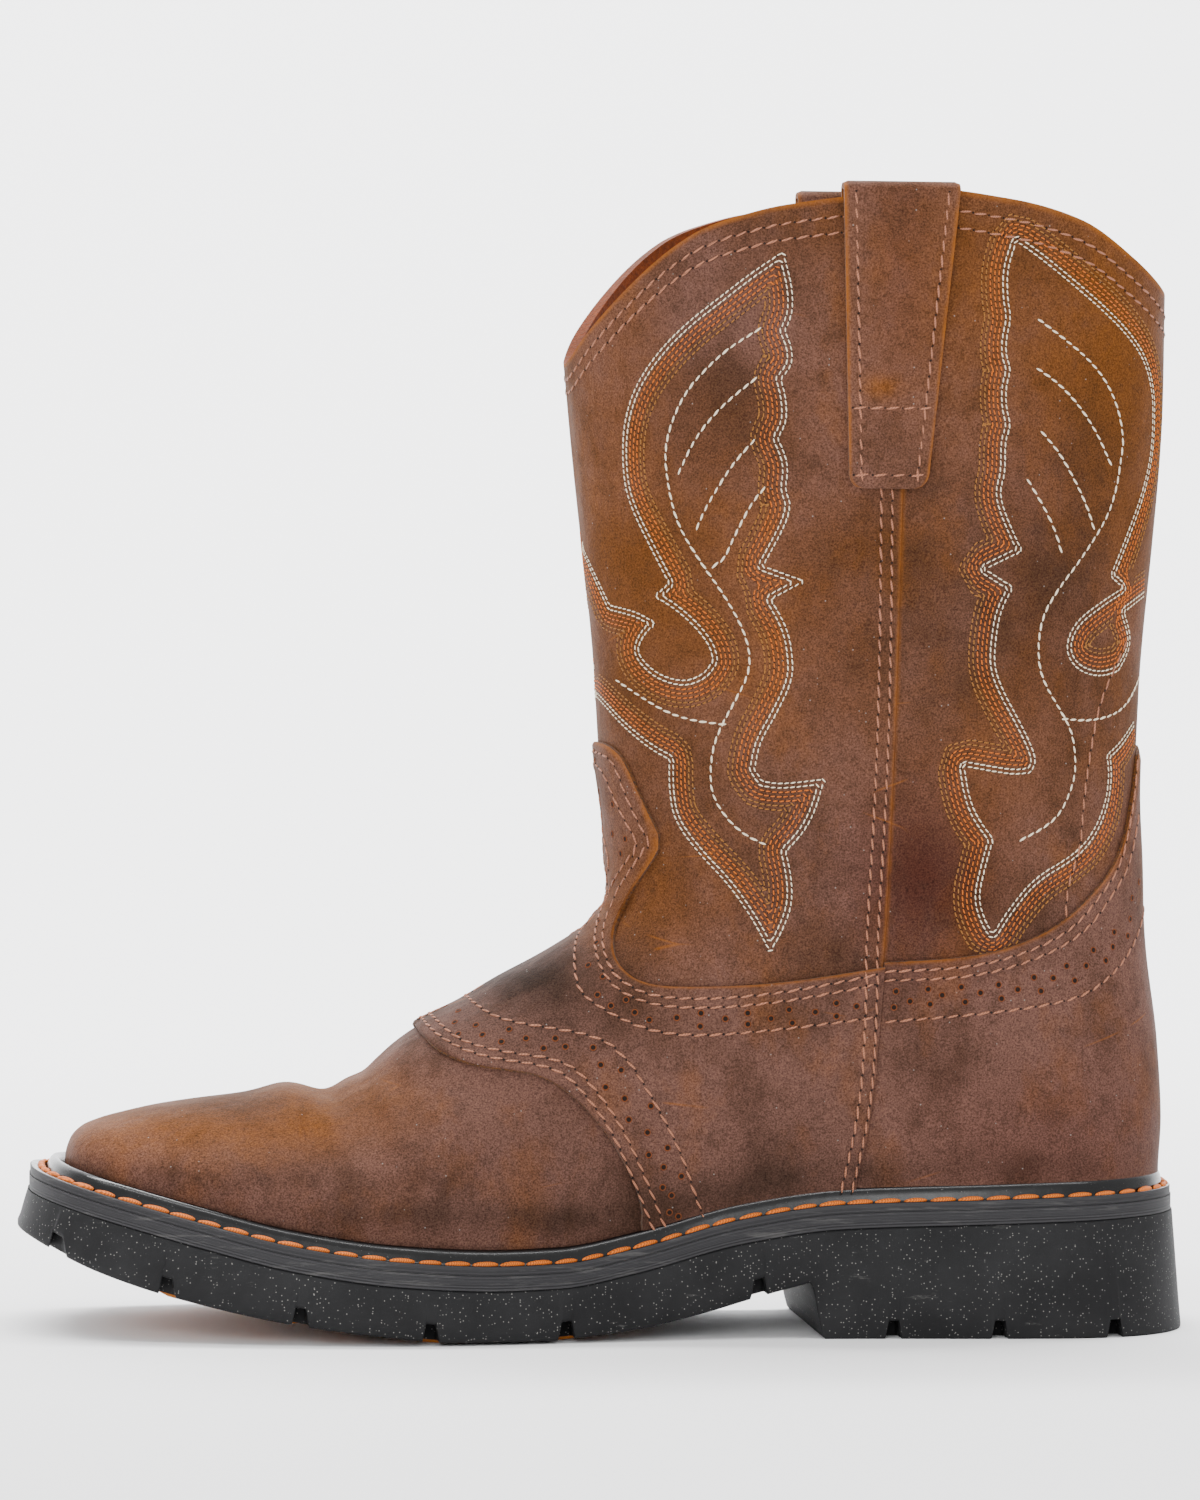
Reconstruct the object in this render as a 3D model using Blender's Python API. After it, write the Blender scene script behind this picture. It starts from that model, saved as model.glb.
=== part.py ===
"""Western work boot, left foot, standing empty on its sole.

+X points to the toe, +Y to the outer (lateral) side and +Z up. The origin is under the middle of the
sole, on the floor. All lengths are in metres.
"""
import math

import bmesh
import bpy
import numpy as np

MM = 0.001

# Driving sizes
LENGTH = 305 * MM          # sole, heel edge to toe edge
BALL_WIDTH = 112 * MM      # sole, across the ball
HEEL_SEAT = 36.6 * MM      # floor to the top of the welt over the heel
FORE_SOLE = 20.0 * MM      # floor to the top of the welt under the ball
TOE_RISE = 22.2 * MM       # how much higher the welt is at the toe than under the ball
ARCH_RISE = 14.5 * MM      # gap under the waist at the heel breast
TOE_SPRING = 26.3 * MM     # gap under the toe edge
UPPER_HEIGHT = 258 * MM    # top of the welt at the heel to the highest point of the collar
COLLAR_CROWN = 34 * MM     # how much the sides of the collar rise above its front and back dips
SHAFT_WIDTH = 96 * MM      # collar, side to side
ANKLE_WIDTH = 81 * MM      # shaft, side to side, over the heel

# Thicknesses and clearances
WALL = 2.2 * MM            # leather and lining of the upper
FLANGE = 2.4 * MM          # welt strip
BEAD = 3.2 * MM            # raised rib of the welt against the upper, above the strip
MIDSOLE = 3.4 * MM
INSOLE = 3.5 * MM
INSERT = 3.0 * MM          # tan tread insert, of which a part stands below the rim
INSERT_STAND = 0.8 * MM
OVERLAY = 1.7 * MM         # saddle and counter leather
SEAM_STEP = 0.9 * MM       # front shaft panel lapped over the back panel
STRAP = 2.0 * MM
GAP = 0.3 * MM             # between pieces that touch
LAYER_GAP = 0.4 * MM       # between the flat layers of the sole, which bend along the foot
REACH_HEEL = 4.6 * MM      # welt beyond the upper at the heel
REACH_SIDE = 8.4 * MM      # welt beyond the upper at the ball
REACH_TOE = 9.0 * MM       # welt beyond the upper at the toe
SOLE_FLARE = 3.2 * MM      # how far the sole's foot stands out from its top edge at heel and toe

# Other details
HEEL_CAP = 38 * MM         # length of the rounded back of the sole's outline
TOE_CAP = 27 * MM          # length of the rounded front of the sole's outline
BREAST_SHARE = 0.323       # station of the heel's front face on the floor
BREAST_LEAN = 4.2 * MM
NOTCH_WIDTH = 4.2 * MM
NOTCH_DEPTH = 4.6 * MM
STRAP_TOP = 30 * MM
STRAP_FOOT = 20 * MM
STRAP_DROP = 76 * MM       # outside, from the collar to the end of the strap
STRAP_INSIDE = 58 * MM
STRAP_CORNER = 4 * MM
STRAP_STATION = 0.271      # middle of the strap at the collar
STRAP_SWAY = 2.5 * MM      # its foot lies this much nearer the toe
SADDLE_CLEAR = 0.5 * MM    # saddle and counter above the bead
OVERLAY_GAP = 1.0 * MM     # under the saddle and counter, so that their facets clear the upper's

FACET_ROOM = 0.9 * MM      # more room beside the upper's flat facets

# Sole outline: station from the heel, half widths as shares of half the ball width
SOLE_PLAN = [
    # station, lateral, medial
    (0.00, 0.70, 0.70),
    (0.15, 0.73, 0.71),
    (0.30, 0.71, 0.67),
    (0.42, 0.75, 0.63),
    (0.52, 0.85, 0.73),
    (0.62, 0.965, 0.89),
    (0.68, 1.00, 0.975),
    (0.73, 0.985, 1.00),
    (0.80, 0.93, 0.985),
    (0.88, 0.83, 0.92),
    (0.95, 0.72, 0.82),
    (1.00, 0.63, 0.75),
]

# Top of the welt: shares of the heel's lift above the ball and of the toe's rise
WELT_LINE = [
    # station, heel share, toe share
    (0.00, 1.06, 0.0),
    (0.18, 0.95, 0.0),
    (0.31, 0.87, 0.0),
    (0.39, 0.67, 0.0),
    (0.485, 0.23, 0.0),
    (0.55, 0.02, 0.0),
    (0.60, 0.0, 0.0),
    (0.685, 0.0, 0.06),
    (0.77, 0.0, 0.22),
    (0.85, 0.0, 0.48),
    (0.935, 0.0, 0.79),
    (1.00, 0.0, 1.03),
]

# Tread under the waist and forefoot: shares of the arch rise and of the toe spring
TREAD_LINE = [
    # station, arch share, toe share
    (0.336, 1.0, 0.0),
    (0.39, 0.70, 0.0),
    (0.43, 0.45, 0.0),
    (0.48, 0.18, 0.0),
    (0.52, 0.07, 0.0),
    (0.56, 0.0, 0.0),
    (0.645, 0.0, 0.0),
    (0.685, 0.0, 0.045),
    (0.77, 0.0, 0.165),
    (0.87, 0.0, 0.41),
    (0.935, 0.0, 0.67),
    (1.00, 0.0, 1.0),
]

# Front centre line of the upper: place along it, setback from its toe end as a share of the length,
# height above the welt as a share of the upper's height
FRONT_LINE = [
    # place, setback, rise
    (0.000, 0.000, -0.0093),
    (0.020, 0.000, 0.014),
    (0.040, 0.005, 0.036),
    (0.055, 0.014, 0.050),
    (0.075, 0.031, 0.064),
    (0.090, 0.048, 0.075),
    (0.120, 0.082, 0.095),
    (0.190, 0.150, 0.127),
    (0.225, 0.184, 0.143),
    (0.250, 0.209, 0.149),
    (0.275, 0.231, 0.155),
    (0.300, 0.252, 0.167),
    (0.325, 0.269, 0.188),
    (0.365, 0.303, 0.227),
    (0.405, 0.337, 0.253),
    (0.445, 0.372, 0.277),
    (0.485, 0.406, 0.298),
    (0.525, 0.440, 0.318),
    (0.550, 0.458, 0.343),
    (0.570, 0.462, 0.364),
    (0.620, 0.460, 0.425),
    (0.670, 0.455, 0.487),
    (0.760, 0.448, 0.590),
    (0.870, 0.439, 0.712),
    (1.000, 0.425, 0.892),
]

# Back centre line: place, setback from the heel end of the upper, height above the welt
BACK_LINE = [
    # place, setback, rise
    (0.000, 0.000, -0.0093),
    (0.040, 0.000, 0.014),
    (0.140, -0.002, 0.065),
    (0.280, 0.002, 0.145),
    (0.480, 0.012, 0.250),
    (0.600, 0.015, 0.330),
    (0.660, 0.018, 0.400),
    (0.740, 0.014, 0.500),
    (0.850, 0.004, 0.650),
    (0.940, -0.003, 0.790),
    (1.000, -0.005, 0.900),
]

# Crown of the collar: share of the way from its back to its front, share of the crown
COLLAR_LINE = [
    # way, crown
    (0.00, 0.00),
    (0.08, 0.31),
    (0.18, 0.65),
    (0.31, 0.88),
    (0.47, 1.00),
    (0.64, 0.95),
    (0.80, 0.76),
    (0.93, 0.36),
    (1.00, 0.00),
]

# Shaft widths: place, share of the way from the ankle's width to the collar's
SHAFT_LINE = [
    # place, share
    (0.00, -0.25),
    (0.45, -0.18),
    (0.58, 0.00),
    (0.75, 0.35),
    (1.00, 1.00),
]

# Roundness of the foot's cross-section: station, exponent, swell of the sides
FOOT_SECTION = [
    # station, exponent, swell
    (0.00, 2.6, 0.04),
    (0.35, 2.4, 0.05),
    (0.60, 2.3, 0.06),
    (0.80, 2.3, 0.06),
    (0.92, 2.5, 0.03),
    (1.00, 2.8, 0.00),
]

# Edges of the overlays in side view: station from the heel, height above the welt as a share of the
# upper's height
SADDLE_FRONT = [
    # station, rise
    (0.488, 0.052),
    (0.497, 0.105),
    (0.515, 0.140),
    (0.540, 0.174),
    (0.566, 0.184),
    (0.625, 0.194),
    (0.650, 0.206),
    (0.664, 0.220),
    (0.676, 0.238),
]
SADDLE_TOP = [
    # station, rise
    (0.282, 0.238),
    (0.330, 0.226),
    (0.380, 0.232),
    (0.431, 0.239),
    (0.477, 0.253),
    (0.499, 0.278),
    (0.508, 0.300),
    (0.506, 0.324),
    (0.482, 0.360),
    (0.462, 0.392),
    (0.458, 0.408),
    (0.470, 0.450),
    (0.487, 0.487),
    (0.506, 0.503),
]
COUNTER_TOP = [
    # station, rise
    (0.282, 0.222),
    (0.225, 0.227),
    (0.182, 0.237),
    (0.140, 0.254),
    (0.106, 0.280),
    (0.080, 0.312),
    (0.067, 0.363),
    (0.059, 0.423),
    (0.048, 0.450),
]
# Side seam: place up the upper, station
SIDE_SEAM = [
    # place, station
    (0.00, 0.304),
    (0.15, 0.292),
    (0.30, 0.286),
    (0.50, 0.281),
    (0.75, 0.273),
    (1.00, 0.268),
]

# Gaps between the lugs: station
LUG_NOTCHES = [0.380, 0.545, 0.660, 0.768, 0.878, 0.968]
HEEL_NOTCHES = [0.075, 0.175, 0.265]

SOLE_STEPS = 46            # stations along the sole pieces
LOOP_STEPS = 28            # points along each side of the welt
UPPER_BACK_STEPS = 8       # columns of the upper from its back to the side seam
UPPER_FRONT_STEPS = 14     # columns of the upper from the side seam to its front


def smooth(table, column):
    """Monotone cubic curve through one column of a table, against its first column."""
    xs = np.array([row[0] for row in table], float)
    ys = np.array([row[column] for row in table], float)
    steps = np.diff(xs)
    slopes = np.diff(ys) / steps
    tangents = np.zeros_like(ys)
    tangents[0] = slopes[0]
    tangents[-1] = slopes[-1]
    for i in range(1, len(xs) - 1):
        if slopes[i - 1] * slopes[i] > 0:
            before = 2 * steps[i] + steps[i - 1]
            after = steps[i] + 2 * steps[i - 1]
            tangents[i] = (before + after) / (before / slopes[i - 1] + after / slopes[i])

    def value(x):
        x = np.clip(np.asarray(x, float), xs[0], xs[-1])
        i = np.clip(np.searchsorted(xs, x, side="right") - 1, 0, len(xs) - 2)
        h = steps[i]
        t = (x - xs[i]) / h
        return (
            (2 * t**3 - 3 * t**2 + 1) * ys[i]
            + (t**3 - 2 * t**2 + t) * h * tangents[i]
            + (3 * t**2 - 2 * t**3) * ys[i + 1]
            + (t**3 - t**2) * h * tangents[i + 1]
        )

    return value


def ease(x, low, high):
    """0 below low, 1 above high, smooth between."""
    t = np.clip((np.asarray(x, float) - low) / (high - low), 0, 1)
    return t * t * (3 - 2 * t)


class Outline:
    """A closed outline in plan: half widths of both sides against the way from heel to toe."""

    def __init__(self, x, lateral, medial):
        self.x = x
        self.lateral = lateral
        self.medial = medial
        self.heel = x[0][0]
        self.toe = x[0][-1]

    def at(self, way):
        return self.heel + (self.toe - self.heel) * np.asarray(way, float)

    def half(self, x, side):
        """Half width at x on the lateral (0) or medial (1) side."""
        return np.interp(x, self.x[side], (self.lateral, self.medial)[side])

    def inset(self, distance):
        """The outline moved inwards by distance, a length or a function of the station."""
        moved_x = []
        moved_y = []
        for side in (0, 1):
            x = self.x[side]
            y = (self.lateral, self.medial)[side]
            station = (x - self.heel) / (self.toe - self.heel)
            step = distance(station) if callable(distance) else distance
            dx = np.gradient(x)
            dy = np.gradient(y)
            size = np.hypot(dx, dy)
            new_x = x + step * dy / size
            new_y = y - step * dx / size
            new_x[0] = x[0] + np.ravel(step)[0]
            new_x[-1] = x[-1] - np.ravel(step)[-1]
            new_y[0] = 0.0
            new_y[-1] = 0.0
            keep = np.maximum.accumulate(new_x)
            moved_x.append(keep)
            moved_y.append(np.maximum(new_y, 0.0))
        return Outline(moved_x, moved_y[0], moved_y[1])


def sole_outline():
    """Outline of the sole on the floor, with its rounded back and its broad squared toe."""
    way = (1 - np.cos(np.linspace(0, math.pi, 500))) / 2
    x = (way - 0.5) * LENGTH
    behind = np.clip(1 - way * LENGTH / HEEL_CAP, 0, 1)
    before = np.clip(1 - (1 - way) * LENGTH / TOE_CAP, 0, 1)
    round_heel = (1 - behind**2.3) ** (1 / 2.3)
    round_toe = (1 - before**2.5) ** (1 / 2.5)
    sides = []
    for column in (1, 2):
        sides.append(smooth(SOLE_PLAN, column)(way) * BALL_WIDTH / 2 * round_heel * round_toe)
    return Outline([x, x.copy()], sides[0], sides[1])


def flare(station):
    """How far the welt's edge stands back from the foot of the sole."""
    ends = np.abs(np.asarray(station, float) - 0.5) * 2
    return SOLE_FLARE * (0.45 + 0.55 * ease(ends, 0.55, 1.0))


def reach(station):
    """How far the welt's edge stands out from the upper."""
    return smooth([(0, REACH_HEEL), (0.35, REACH_HEEL * 1.3), (0.6, REACH_SIDE), (1, REACH_TOE)], 1)(station)


FLOOR_OUTLINE = sole_outline()
WELT_OUTLINE = FLOOR_OUTLINE.inset(flare)
FOOT_OUTLINE = WELT_OUTLINE.inset(reach)

WELT_HEEL = smooth(WELT_LINE, 1)
WELT_TOE = smooth(WELT_LINE, 2)
TREAD_ARCH = smooth(TREAD_LINE, 1)
TREAD_TOE = smooth(TREAD_LINE, 2)


def station_of(x):
    return np.asarray(x, float) / LENGTH + 0.5


def welt_top(x):
    """Height of the top of the welt at x."""
    station = station_of(x)
    return FORE_SOLE + WELT_HEEL(station) * (HEEL_SEAT - FORE_SOLE) + WELT_TOE(station) * TOE_RISE


def seat(x):
    """Height at which the upper and the insole stand on the midsole."""
    return welt_top(x) - FLANGE


def rim(way):
    """Height of the black rim's tread under the waist and forefoot."""
    rise = TREAD_ARCH(way) * ARCH_RISE + TREAD_TOE(way) * TOE_SPRING
    return rise + INSERT_STAND * ease(way, 0.40, 0.50) * (1 - ease(way, 0.85, 0.95))


# Centre lines of the upper
FRONT_SETBACK = smooth(FRONT_LINE, 1)
FRONT_RISE = smooth(FRONT_LINE, 2)
BACK_SETBACK = smooth(BACK_LINE, 1)
BACK_RISE = smooth(BACK_LINE, 2)
CROWN = smooth(COLLAR_LINE, 1)
SHAFT_SHARE = smooth(SHAFT_LINE, 1)
SECTION_POWER = smooth(FOOT_SECTION, 1)
SECTION_SWELL = smooth(FOOT_SECTION, 2)
SEAM_STATION = smooth(SIDE_SEAM, 1)
INSTEP_PLACE = 0.56
BLEND_PLACE = 0.24
SHAFT_POWER = 2.25
LEG_SLOPE = 1.5            # the foot's form goes on up inside the shaft at this slope


def front_point(place):
    x = FOOT_OUTLINE.toe - FRONT_SETBACK(place) * LENGTH
    return x, welt_top(x) + FRONT_RISE(place) * UPPER_HEIGHT


def back_point(place):
    x = FOOT_OUTLINE.heel + BACK_SETBACK(place) * LENGTH
    return x, welt_top(x) + BACK_RISE(place) * UPPER_HEIGHT


RIDGE_PLACES = np.linspace(0, INSTEP_PLACE, 300)
RIDGE_X, RIDGE_Z = front_point(RIDGE_PLACES)


def ridge(x):
    """Height of the foot's top line at x, carried on upwards behind the instep."""
    vamp = np.interp(x, RIDGE_X[::-1], RIDGE_Z[::-1])
    return np.where(x < RIDGE_X[-1], RIDGE_Z[-1] + LEG_SLOPE * (RIDGE_X[-1] - x), vamp)


def side_line(place, way):
    """Side view of the upper: x and z at a place up it and a way from its back to its front."""
    back_x, back_z = back_point(place)
    front_x, front_z = front_point(place)
    x = back_x + (front_x - back_x) * way
    sole_x = FOOT_OUTLINE.at(way)
    sag = seat(sole_x) - (seat(FOOT_OUTLINE.heel) * (1 - way) + seat(FOOT_OUTLINE.toe) * way)
    z = back_z + (front_z - back_z) * way
    z = z + sag * (1 - ease(place, 0.0, 0.62))
    z = z + CROWN(way) * COLLAR_CROWN * ease(place, 0.55, 1.0) ** 1.3
    return x, z


def half_width(place, way, x, z, side):
    """Half width of the upper: the foot's arch below, the shaft's oval above, and a blend between."""
    back_x = back_point(place)[0]
    foot_x = x - (back_x - FOOT_OUTLINE.heel) * (1 - way) ** 2
    station = station_of(foot_x)
    base = seat(x) + FLANGE + BEAD
    rise = np.clip((z - base) / np.maximum(ridge(x) - base, 0.2 * MM), 0, 1)
    power = SECTION_POWER(station)
    arch = (1 - rise**power) ** (1 / power)
    swell = 1 + SECTION_SWELL(station) * np.sin(math.pi * np.minimum(rise * 1.4, 1)) ** 1.2
    foot = FOOT_OUTLINE.half(foot_x, side) * arch * swell
    span = ANKLE_WIDTH + SHAFT_SHARE(place) * (SHAFT_WIDTH - ANKLE_WIDTH)
    oval = (1 - np.abs(2 * way - 1) ** SHAFT_POWER) ** (1 / SHAFT_POWER)
    blend = ease(place, BLEND_PLACE, INSTEP_PLACE)
    return foot * (1 - blend) + span / 2 * oval * blend


def form(place, angle):
    """Outer form of the upper. The angle is 0 at the back, up to pi over the lateral side, then on."""
    place = np.clip(place, 0, 1)
    angle = np.asarray(angle, float)
    way = (1 - np.cos(angle)) / 2
    x, z = side_line(place, way)
    lateral = half_width(place, way, x, z, 0)
    medial = half_width(place, way, x, z, 1)
    y = np.where(np.sin(angle) >= 0, lateral, -medial)
    y = np.where(np.abs(np.sin(angle)) < 1e-9, 0.0, y)
    return np.stack(np.broadcast_arrays(x, y, z), axis=-1)


def lifted(place, angle, lift):
    """A point on the form, moved outwards by lift along its normal."""
    place, angle, lift = np.broadcast_arrays(
        np.asarray(place, float), np.asarray(angle, float), np.asarray(lift, float)
    )
    small = 0.004
    along = form(place + small, angle) - form(place - small, angle)
    around = form(place, angle + small * 4) - form(place, angle - small * 4)
    normal = np.cross(along, around)
    size = np.linalg.norm(normal, axis=-1, keepdims=True)
    normal = normal / np.maximum(size, 1e-12)
    return form(place, angle) + normal * lift[..., None]


def locate(x, z):
    """Place and angle of the point of the lateral side that the side view shows at x and z."""
    low = 0.0
    high = 1.0
    for _ in range(40):
        place = (low + high) / 2
        back_x = back_point(place)[0]
        front_x = front_point(place)[0]
        way = min(max((x - back_x) / (front_x - back_x), 0.0), 1.0)
        if side_line(place, way)[1] < z:
            low = place
        else:
            high = place
    return place, math.acos(1 - 2 * way)


def seam_angle(place):
    """Angle of the side seam at a place up the upper."""
    x = (SEAM_STATION(place) - 0.5) * LENGTH
    back_x = back_point(place)[0]
    front_x = front_point(place)[0]
    way = np.clip((x - back_x) / (front_x - back_x), 0.02, 0.98)
    return np.arccos(1 - 2 * way)


def make_material(name, colour, roughness):
    material = bpy.data.materials.new(name)
    material.use_nodes = True
    shader = material.node_tree.nodes["Principled BSDF"]
    shader.inputs["Base Color"].default_value = (*colour, 1.0)
    shader.inputs["Roughness"].default_value = roughness
    shader.inputs["Metallic"].default_value = 0.0
    return material


def make_object(name, points, faces, material):
    """One closed body from its points and faces, with its faces turned outwards."""
    mesh = bpy.data.meshes.new(name)
    mesh.from_pydata([tuple(map(float, point)) for point in points], [], faces)
    body = bmesh.new()
    body.from_mesh(mesh)
    bmesh.ops.remove_doubles(body, verts=body.verts, dist=0.02 * MM)
    bmesh.ops.dissolve_degenerate(body, edges=body.edges, dist=0.01 * MM)
    bmesh.ops.recalc_face_normals(body, faces=body.faces)
    body.to_mesh(mesh)
    body.free()
    mesh.shade_smooth()
    mesh.set_sharp_from_angle(angle=math.radians(40))
    thing = bpy.data.objects.new(name, mesh)
    thing.data.materials.append(material)
    bpy.context.scene.collection.objects.link(thing)
    return thing


def cut(thing, cutter):
    """Cut one object with another, which then stays as a hidden guide."""
    cutter.hide_render = True
    cutter.display_type = "WIRE"
    modifier = thing.modifiers.new("cut", "BOOLEAN")
    modifier.operation = "DIFFERENCE"
    modifier.solver = "EXACT"
    modifier.object = cutter


def ladder(name, ways, top_outline, top, bottom_outline, bottom, material):
    """A flat-topped slab along the foot, with its heights given as functions of x and of the way."""
    points = []
    faces = []
    for way in ways:
        for outline, height in ((top_outline, top), (bottom_outline, bottom)):
            x = outline.at(way)
            z = height(x, way)
            points.append((x, outline.half(x, 0), z))
            points.append((x, -outline.half(x, 1), z))
    for i in range(len(ways) - 1):
        a = 4 * i
        b = a + 4
        faces.append((a, b, b + 1, a + 1))
        faces.append((a + 2, a + 3, b + 3, b + 2))
        faces.append((a, a + 2, b + 2, b))
        faces.append((a + 1, b + 1, b + 3, a + 3))
    return make_object(name, points, faces, material)


def ring(name, sections, material):
    """A closed loop of closed cross-sections, each a list of points."""
    count = len(sections)
    size = len(sections[0])
    points = [point for section in sections for point in section]
    faces = []
    for i in range(count):
        for j in range(size):
            a = i * size + j
            b = i * size + (j + 1) % size
            c = ((i + 1) % count) * size + (j + 1) % size
            d = ((i + 1) % count) * size + j
            faces.append((a, b, c, d))
    return make_object(name, points, faces, material)


def shell(name, outer, inner, closed, material):
    """A wall between two grids of points, closed round its columns or open at both sides."""
    rows, columns = outer.shape[:2]
    points = np.concatenate([outer.reshape(-1, 3), inner.reshape(-1, 3)])
    half = rows * columns
    faces = []
    last = columns if closed else columns - 1
    for i in range(rows - 1):
        for j in range(last):
            k = (j + 1) % columns
            a, b, c, d = i * columns + j, i * columns + k, (i + 1) * columns + k, (i + 1) * columns + j
            faces.append((a, b, c, d))
            faces.append((half + d, half + c, half + b, half + a))
    for j in range(last):
        k = (j + 1) % columns
        top = (rows - 1) * columns
        faces.append((k, j, half + j, half + k))
        faces.append((top + j, top + k, half + top + k, half + top + j))
    if not closed:
        for i in range(rows - 1):
            a, d = i * columns, (i + 1) * columns
            b, c = a + columns - 1, d + columns - 1
            faces.append((a, d, half + d, half + a))
            faces.append((c, b, half + b, half + c))
    return make_object(name, points, faces, material)


def even_ways(count, extra=()):
    """Stations from heel to toe, closer together at the ends, with extra ones put in."""
    ways = list((1 - np.cos(np.linspace(0, math.pi, count))) / 2)
    for way in extra:
        ways = [other for other in ways if abs(other - way) > 0.002 or other in (0.0, 1.0)]
        ways.append(way)
    return sorted(ways)


def outsole(material):
    """Moulded rubber sole and heel in one, with the gaps between its lugs and its heel breast."""
    breast_top = BREAST_SHARE + BREAST_LEAN / LENGTH
    half = NOTCH_WIDTH / LENGTH / 2
    edge = 0.0006
    extra = [BREAST_SHARE, breast_top]
    notches = LUG_NOTCHES + HEEL_NOTCHES
    for notch in notches:
        extra += [notch - half - edge, notch - half, notch + half, notch + half + edge]

    def tread(x, way):
        level = 0.0 if way <= BREAST_SHARE + 1e-6 else float(rim(way))
        if any(abs(way - notch) < half + edge / 2 for notch in notches):
            level += NOTCH_DEPTH
        return level

    def top(x, way):
        return welt_top(x) - FLANGE - MIDSOLE - 2 * LAYER_GAP

    return ladder(
        "outsole", even_ways(SOLE_STEPS, extra), WELT_OUTLINE.inset(-0.6 * MM), top, FLOOR_OUTLINE, tread,
        material,
    )


INSERT_START = 0.47
INSERT_END = 0.925
INSERT_INSET = 9 * MM


def insert_slab(name, grow, top_lift, ribs, material):
    """Tan tread insert in the forefoot, or with grow its pocket in the outsole."""
    outline = FLOOR_OUTLINE.inset(INSERT_INSET - grow)
    start = INSERT_START - grow / LENGTH
    end = INSERT_END + grow / LENGTH
    rib_ways = np.linspace(start, end, 29)
    points = []
    faces = []
    for i, way in enumerate(rib_ways):
        x = (way - 0.5) * LENGTH
        closing = min(1.0, 0.72 + 0.28 * min(way - start, end - way) / 0.03)
        bottom = float(rim(way)) - INSERT_STAND
        if ribs and i % 4 == 2 and not 0.56 < way < 0.645:
            bottom += 1.2 * MM
        top = float(rim(way)) - INSERT_STAND + INSERT + top_lift
        if not ribs:
            bottom -= 3 * MM
        for side, sign in ((0, 1), (1, -1)):
            y = sign * outline.half(x, side) * closing
            points += [(x, y, top), (x, y, bottom)]
    for i in range(len(rib_ways) - 1):
        a = 4 * i
        b = a + 4
        faces.append((a, b, b + 2, a + 2))
        faces.append((a + 1, a + 3, b + 3, b + 1))
        faces.append((a, a + 1, b + 1, b))
        faces.append((a + 2, b + 2, b + 3, a + 3))
    faces.append((0, 2, 3, 1))
    faces.append((b, b + 1, b + 3, b + 2))
    return make_object(name, points, faces, material)


def midsole(material):
    """Trimmed band between the welt and the outsole."""
    def top(x, way):
        return welt_top(x) - FLANGE - LAYER_GAP

    def bottom(x, way):
        return welt_top(x) - FLANGE - LAYER_GAP - MIDSOLE

    outline = WELT_OUTLINE.inset(-0.3 * MM)
    return ladder("midsole", even_ways(SOLE_STEPS - 10), outline, top, outline, bottom, material)


def insole(material):
    """Board inside the upper, on the midsole."""
    outline = FOOT_OUTLINE.inset(WALL + GAP + FACET_ROOM)

    def top(x, way):
        return seat(x) + INSOLE

    def bottom(x, way):
        return seat(x)

    return ladder("insole", even_ways(SOLE_STEPS - 14), outline, top, outline, bottom, material)


# Cross-section of the welt: share of the way from its edge to the upper, height above its top
WELT_SECTION = [
    # share, rise as a share of the bead
    (0.00, 0.00),
    (0.46, 0.00),
    (0.56, -0.25),
    (0.64, 0.10),
    (0.70, 0.75),
    (0.82, 1.00),
    (0.93, 0.80),
    (1.00, 0.15),
]


def welt(material):
    """Welt strip with its stitch groove and the raised bead against the upper."""
    inner = FOOT_OUTLINE.inset(-GAP - FACET_ROOM / 2)
    angles = np.linspace(0, 2 * math.pi, 2 * LOOP_STEPS, endpoint=False)
    sections = []
    for angle in angles:
        way = (1 - math.cos(angle)) / 2
        side = 0 if math.sin(angle) >= 0 else 1
        sign = (1, -1)[side]
        rows = []
        for outline in (WELT_OUTLINE, inner):
            x = outline.at(way)
            rows.append(np.array([x, sign * outline.half(x, side)]))
        section = []
        for share, rise in WELT_SECTION:
            x, y = rows[0] * (1 - share) + rows[1] * share
            section.append((x, y, welt_top(x) + rise * BEAD))
        for x, y in (rows[1], rows[0]):
            section.append((x, y, welt_top(x) - FLANGE))
        sections.append(section)
    return ring("welt", sections, material)


def upper_places():
    toe = np.linspace(0, 0.10, 7)
    vamp = np.linspace(0.10, 0.50, 13)[1:]
    bend = np.linspace(0.50, 0.62, 8)[1:]
    shaft = np.linspace(0.62, 1.0, 8)[1:]
    return np.concatenate([toe, vamp, bend, shaft])


def upper_angles(place):
    """Columns round the upper, with a pair on each side seam for the step of the front panel."""
    seam = float(seam_angle(place))
    step = 0.6 * MM / (LENGTH / 4)
    back = np.linspace(0, seam, UPPER_BACK_STEPS + 1)
    share = np.linspace(0, 1, UPPER_FRONT_STEPS + 1) ** 1.3
    front = seam + step + (math.pi - seam - step) * share
    side = np.concatenate([back, front])
    return np.concatenate([side, 2 * math.pi - side[-2:0:-1]])


def panel_step(place, angle):
    """Extra height of the front shaft panel, in front of the side seam and above the saddle."""
    round_angle = np.where(angle > math.pi, 2 * math.pi - angle, angle)
    return np.where(round_angle > seam_angle(place) + 1e-6, SEAM_STEP, 0.0) * ease(place, 0.36, 0.44)


def upper(material):
    """Hollow vamp and shaft: one wall, open at the collar and underneath."""
    places = upper_places()
    outer = []
    inner = []
    for place in places:
        angles = upper_angles(place)
        outer.append(lifted(place, angles, panel_step(place, angles)))
        inner.append(lifted(place, angles, -WALL))
    outer = np.array(outer)
    inner = np.array(inner)
    for skin in (outer, inner):
        skin[0, :, 2] = seat(skin[0, :, 0]) + GAP / 2
    inner[-1, :, 2] = outer[-1, :, 2]
    return shell("upper", outer, inner, True, material)


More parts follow.
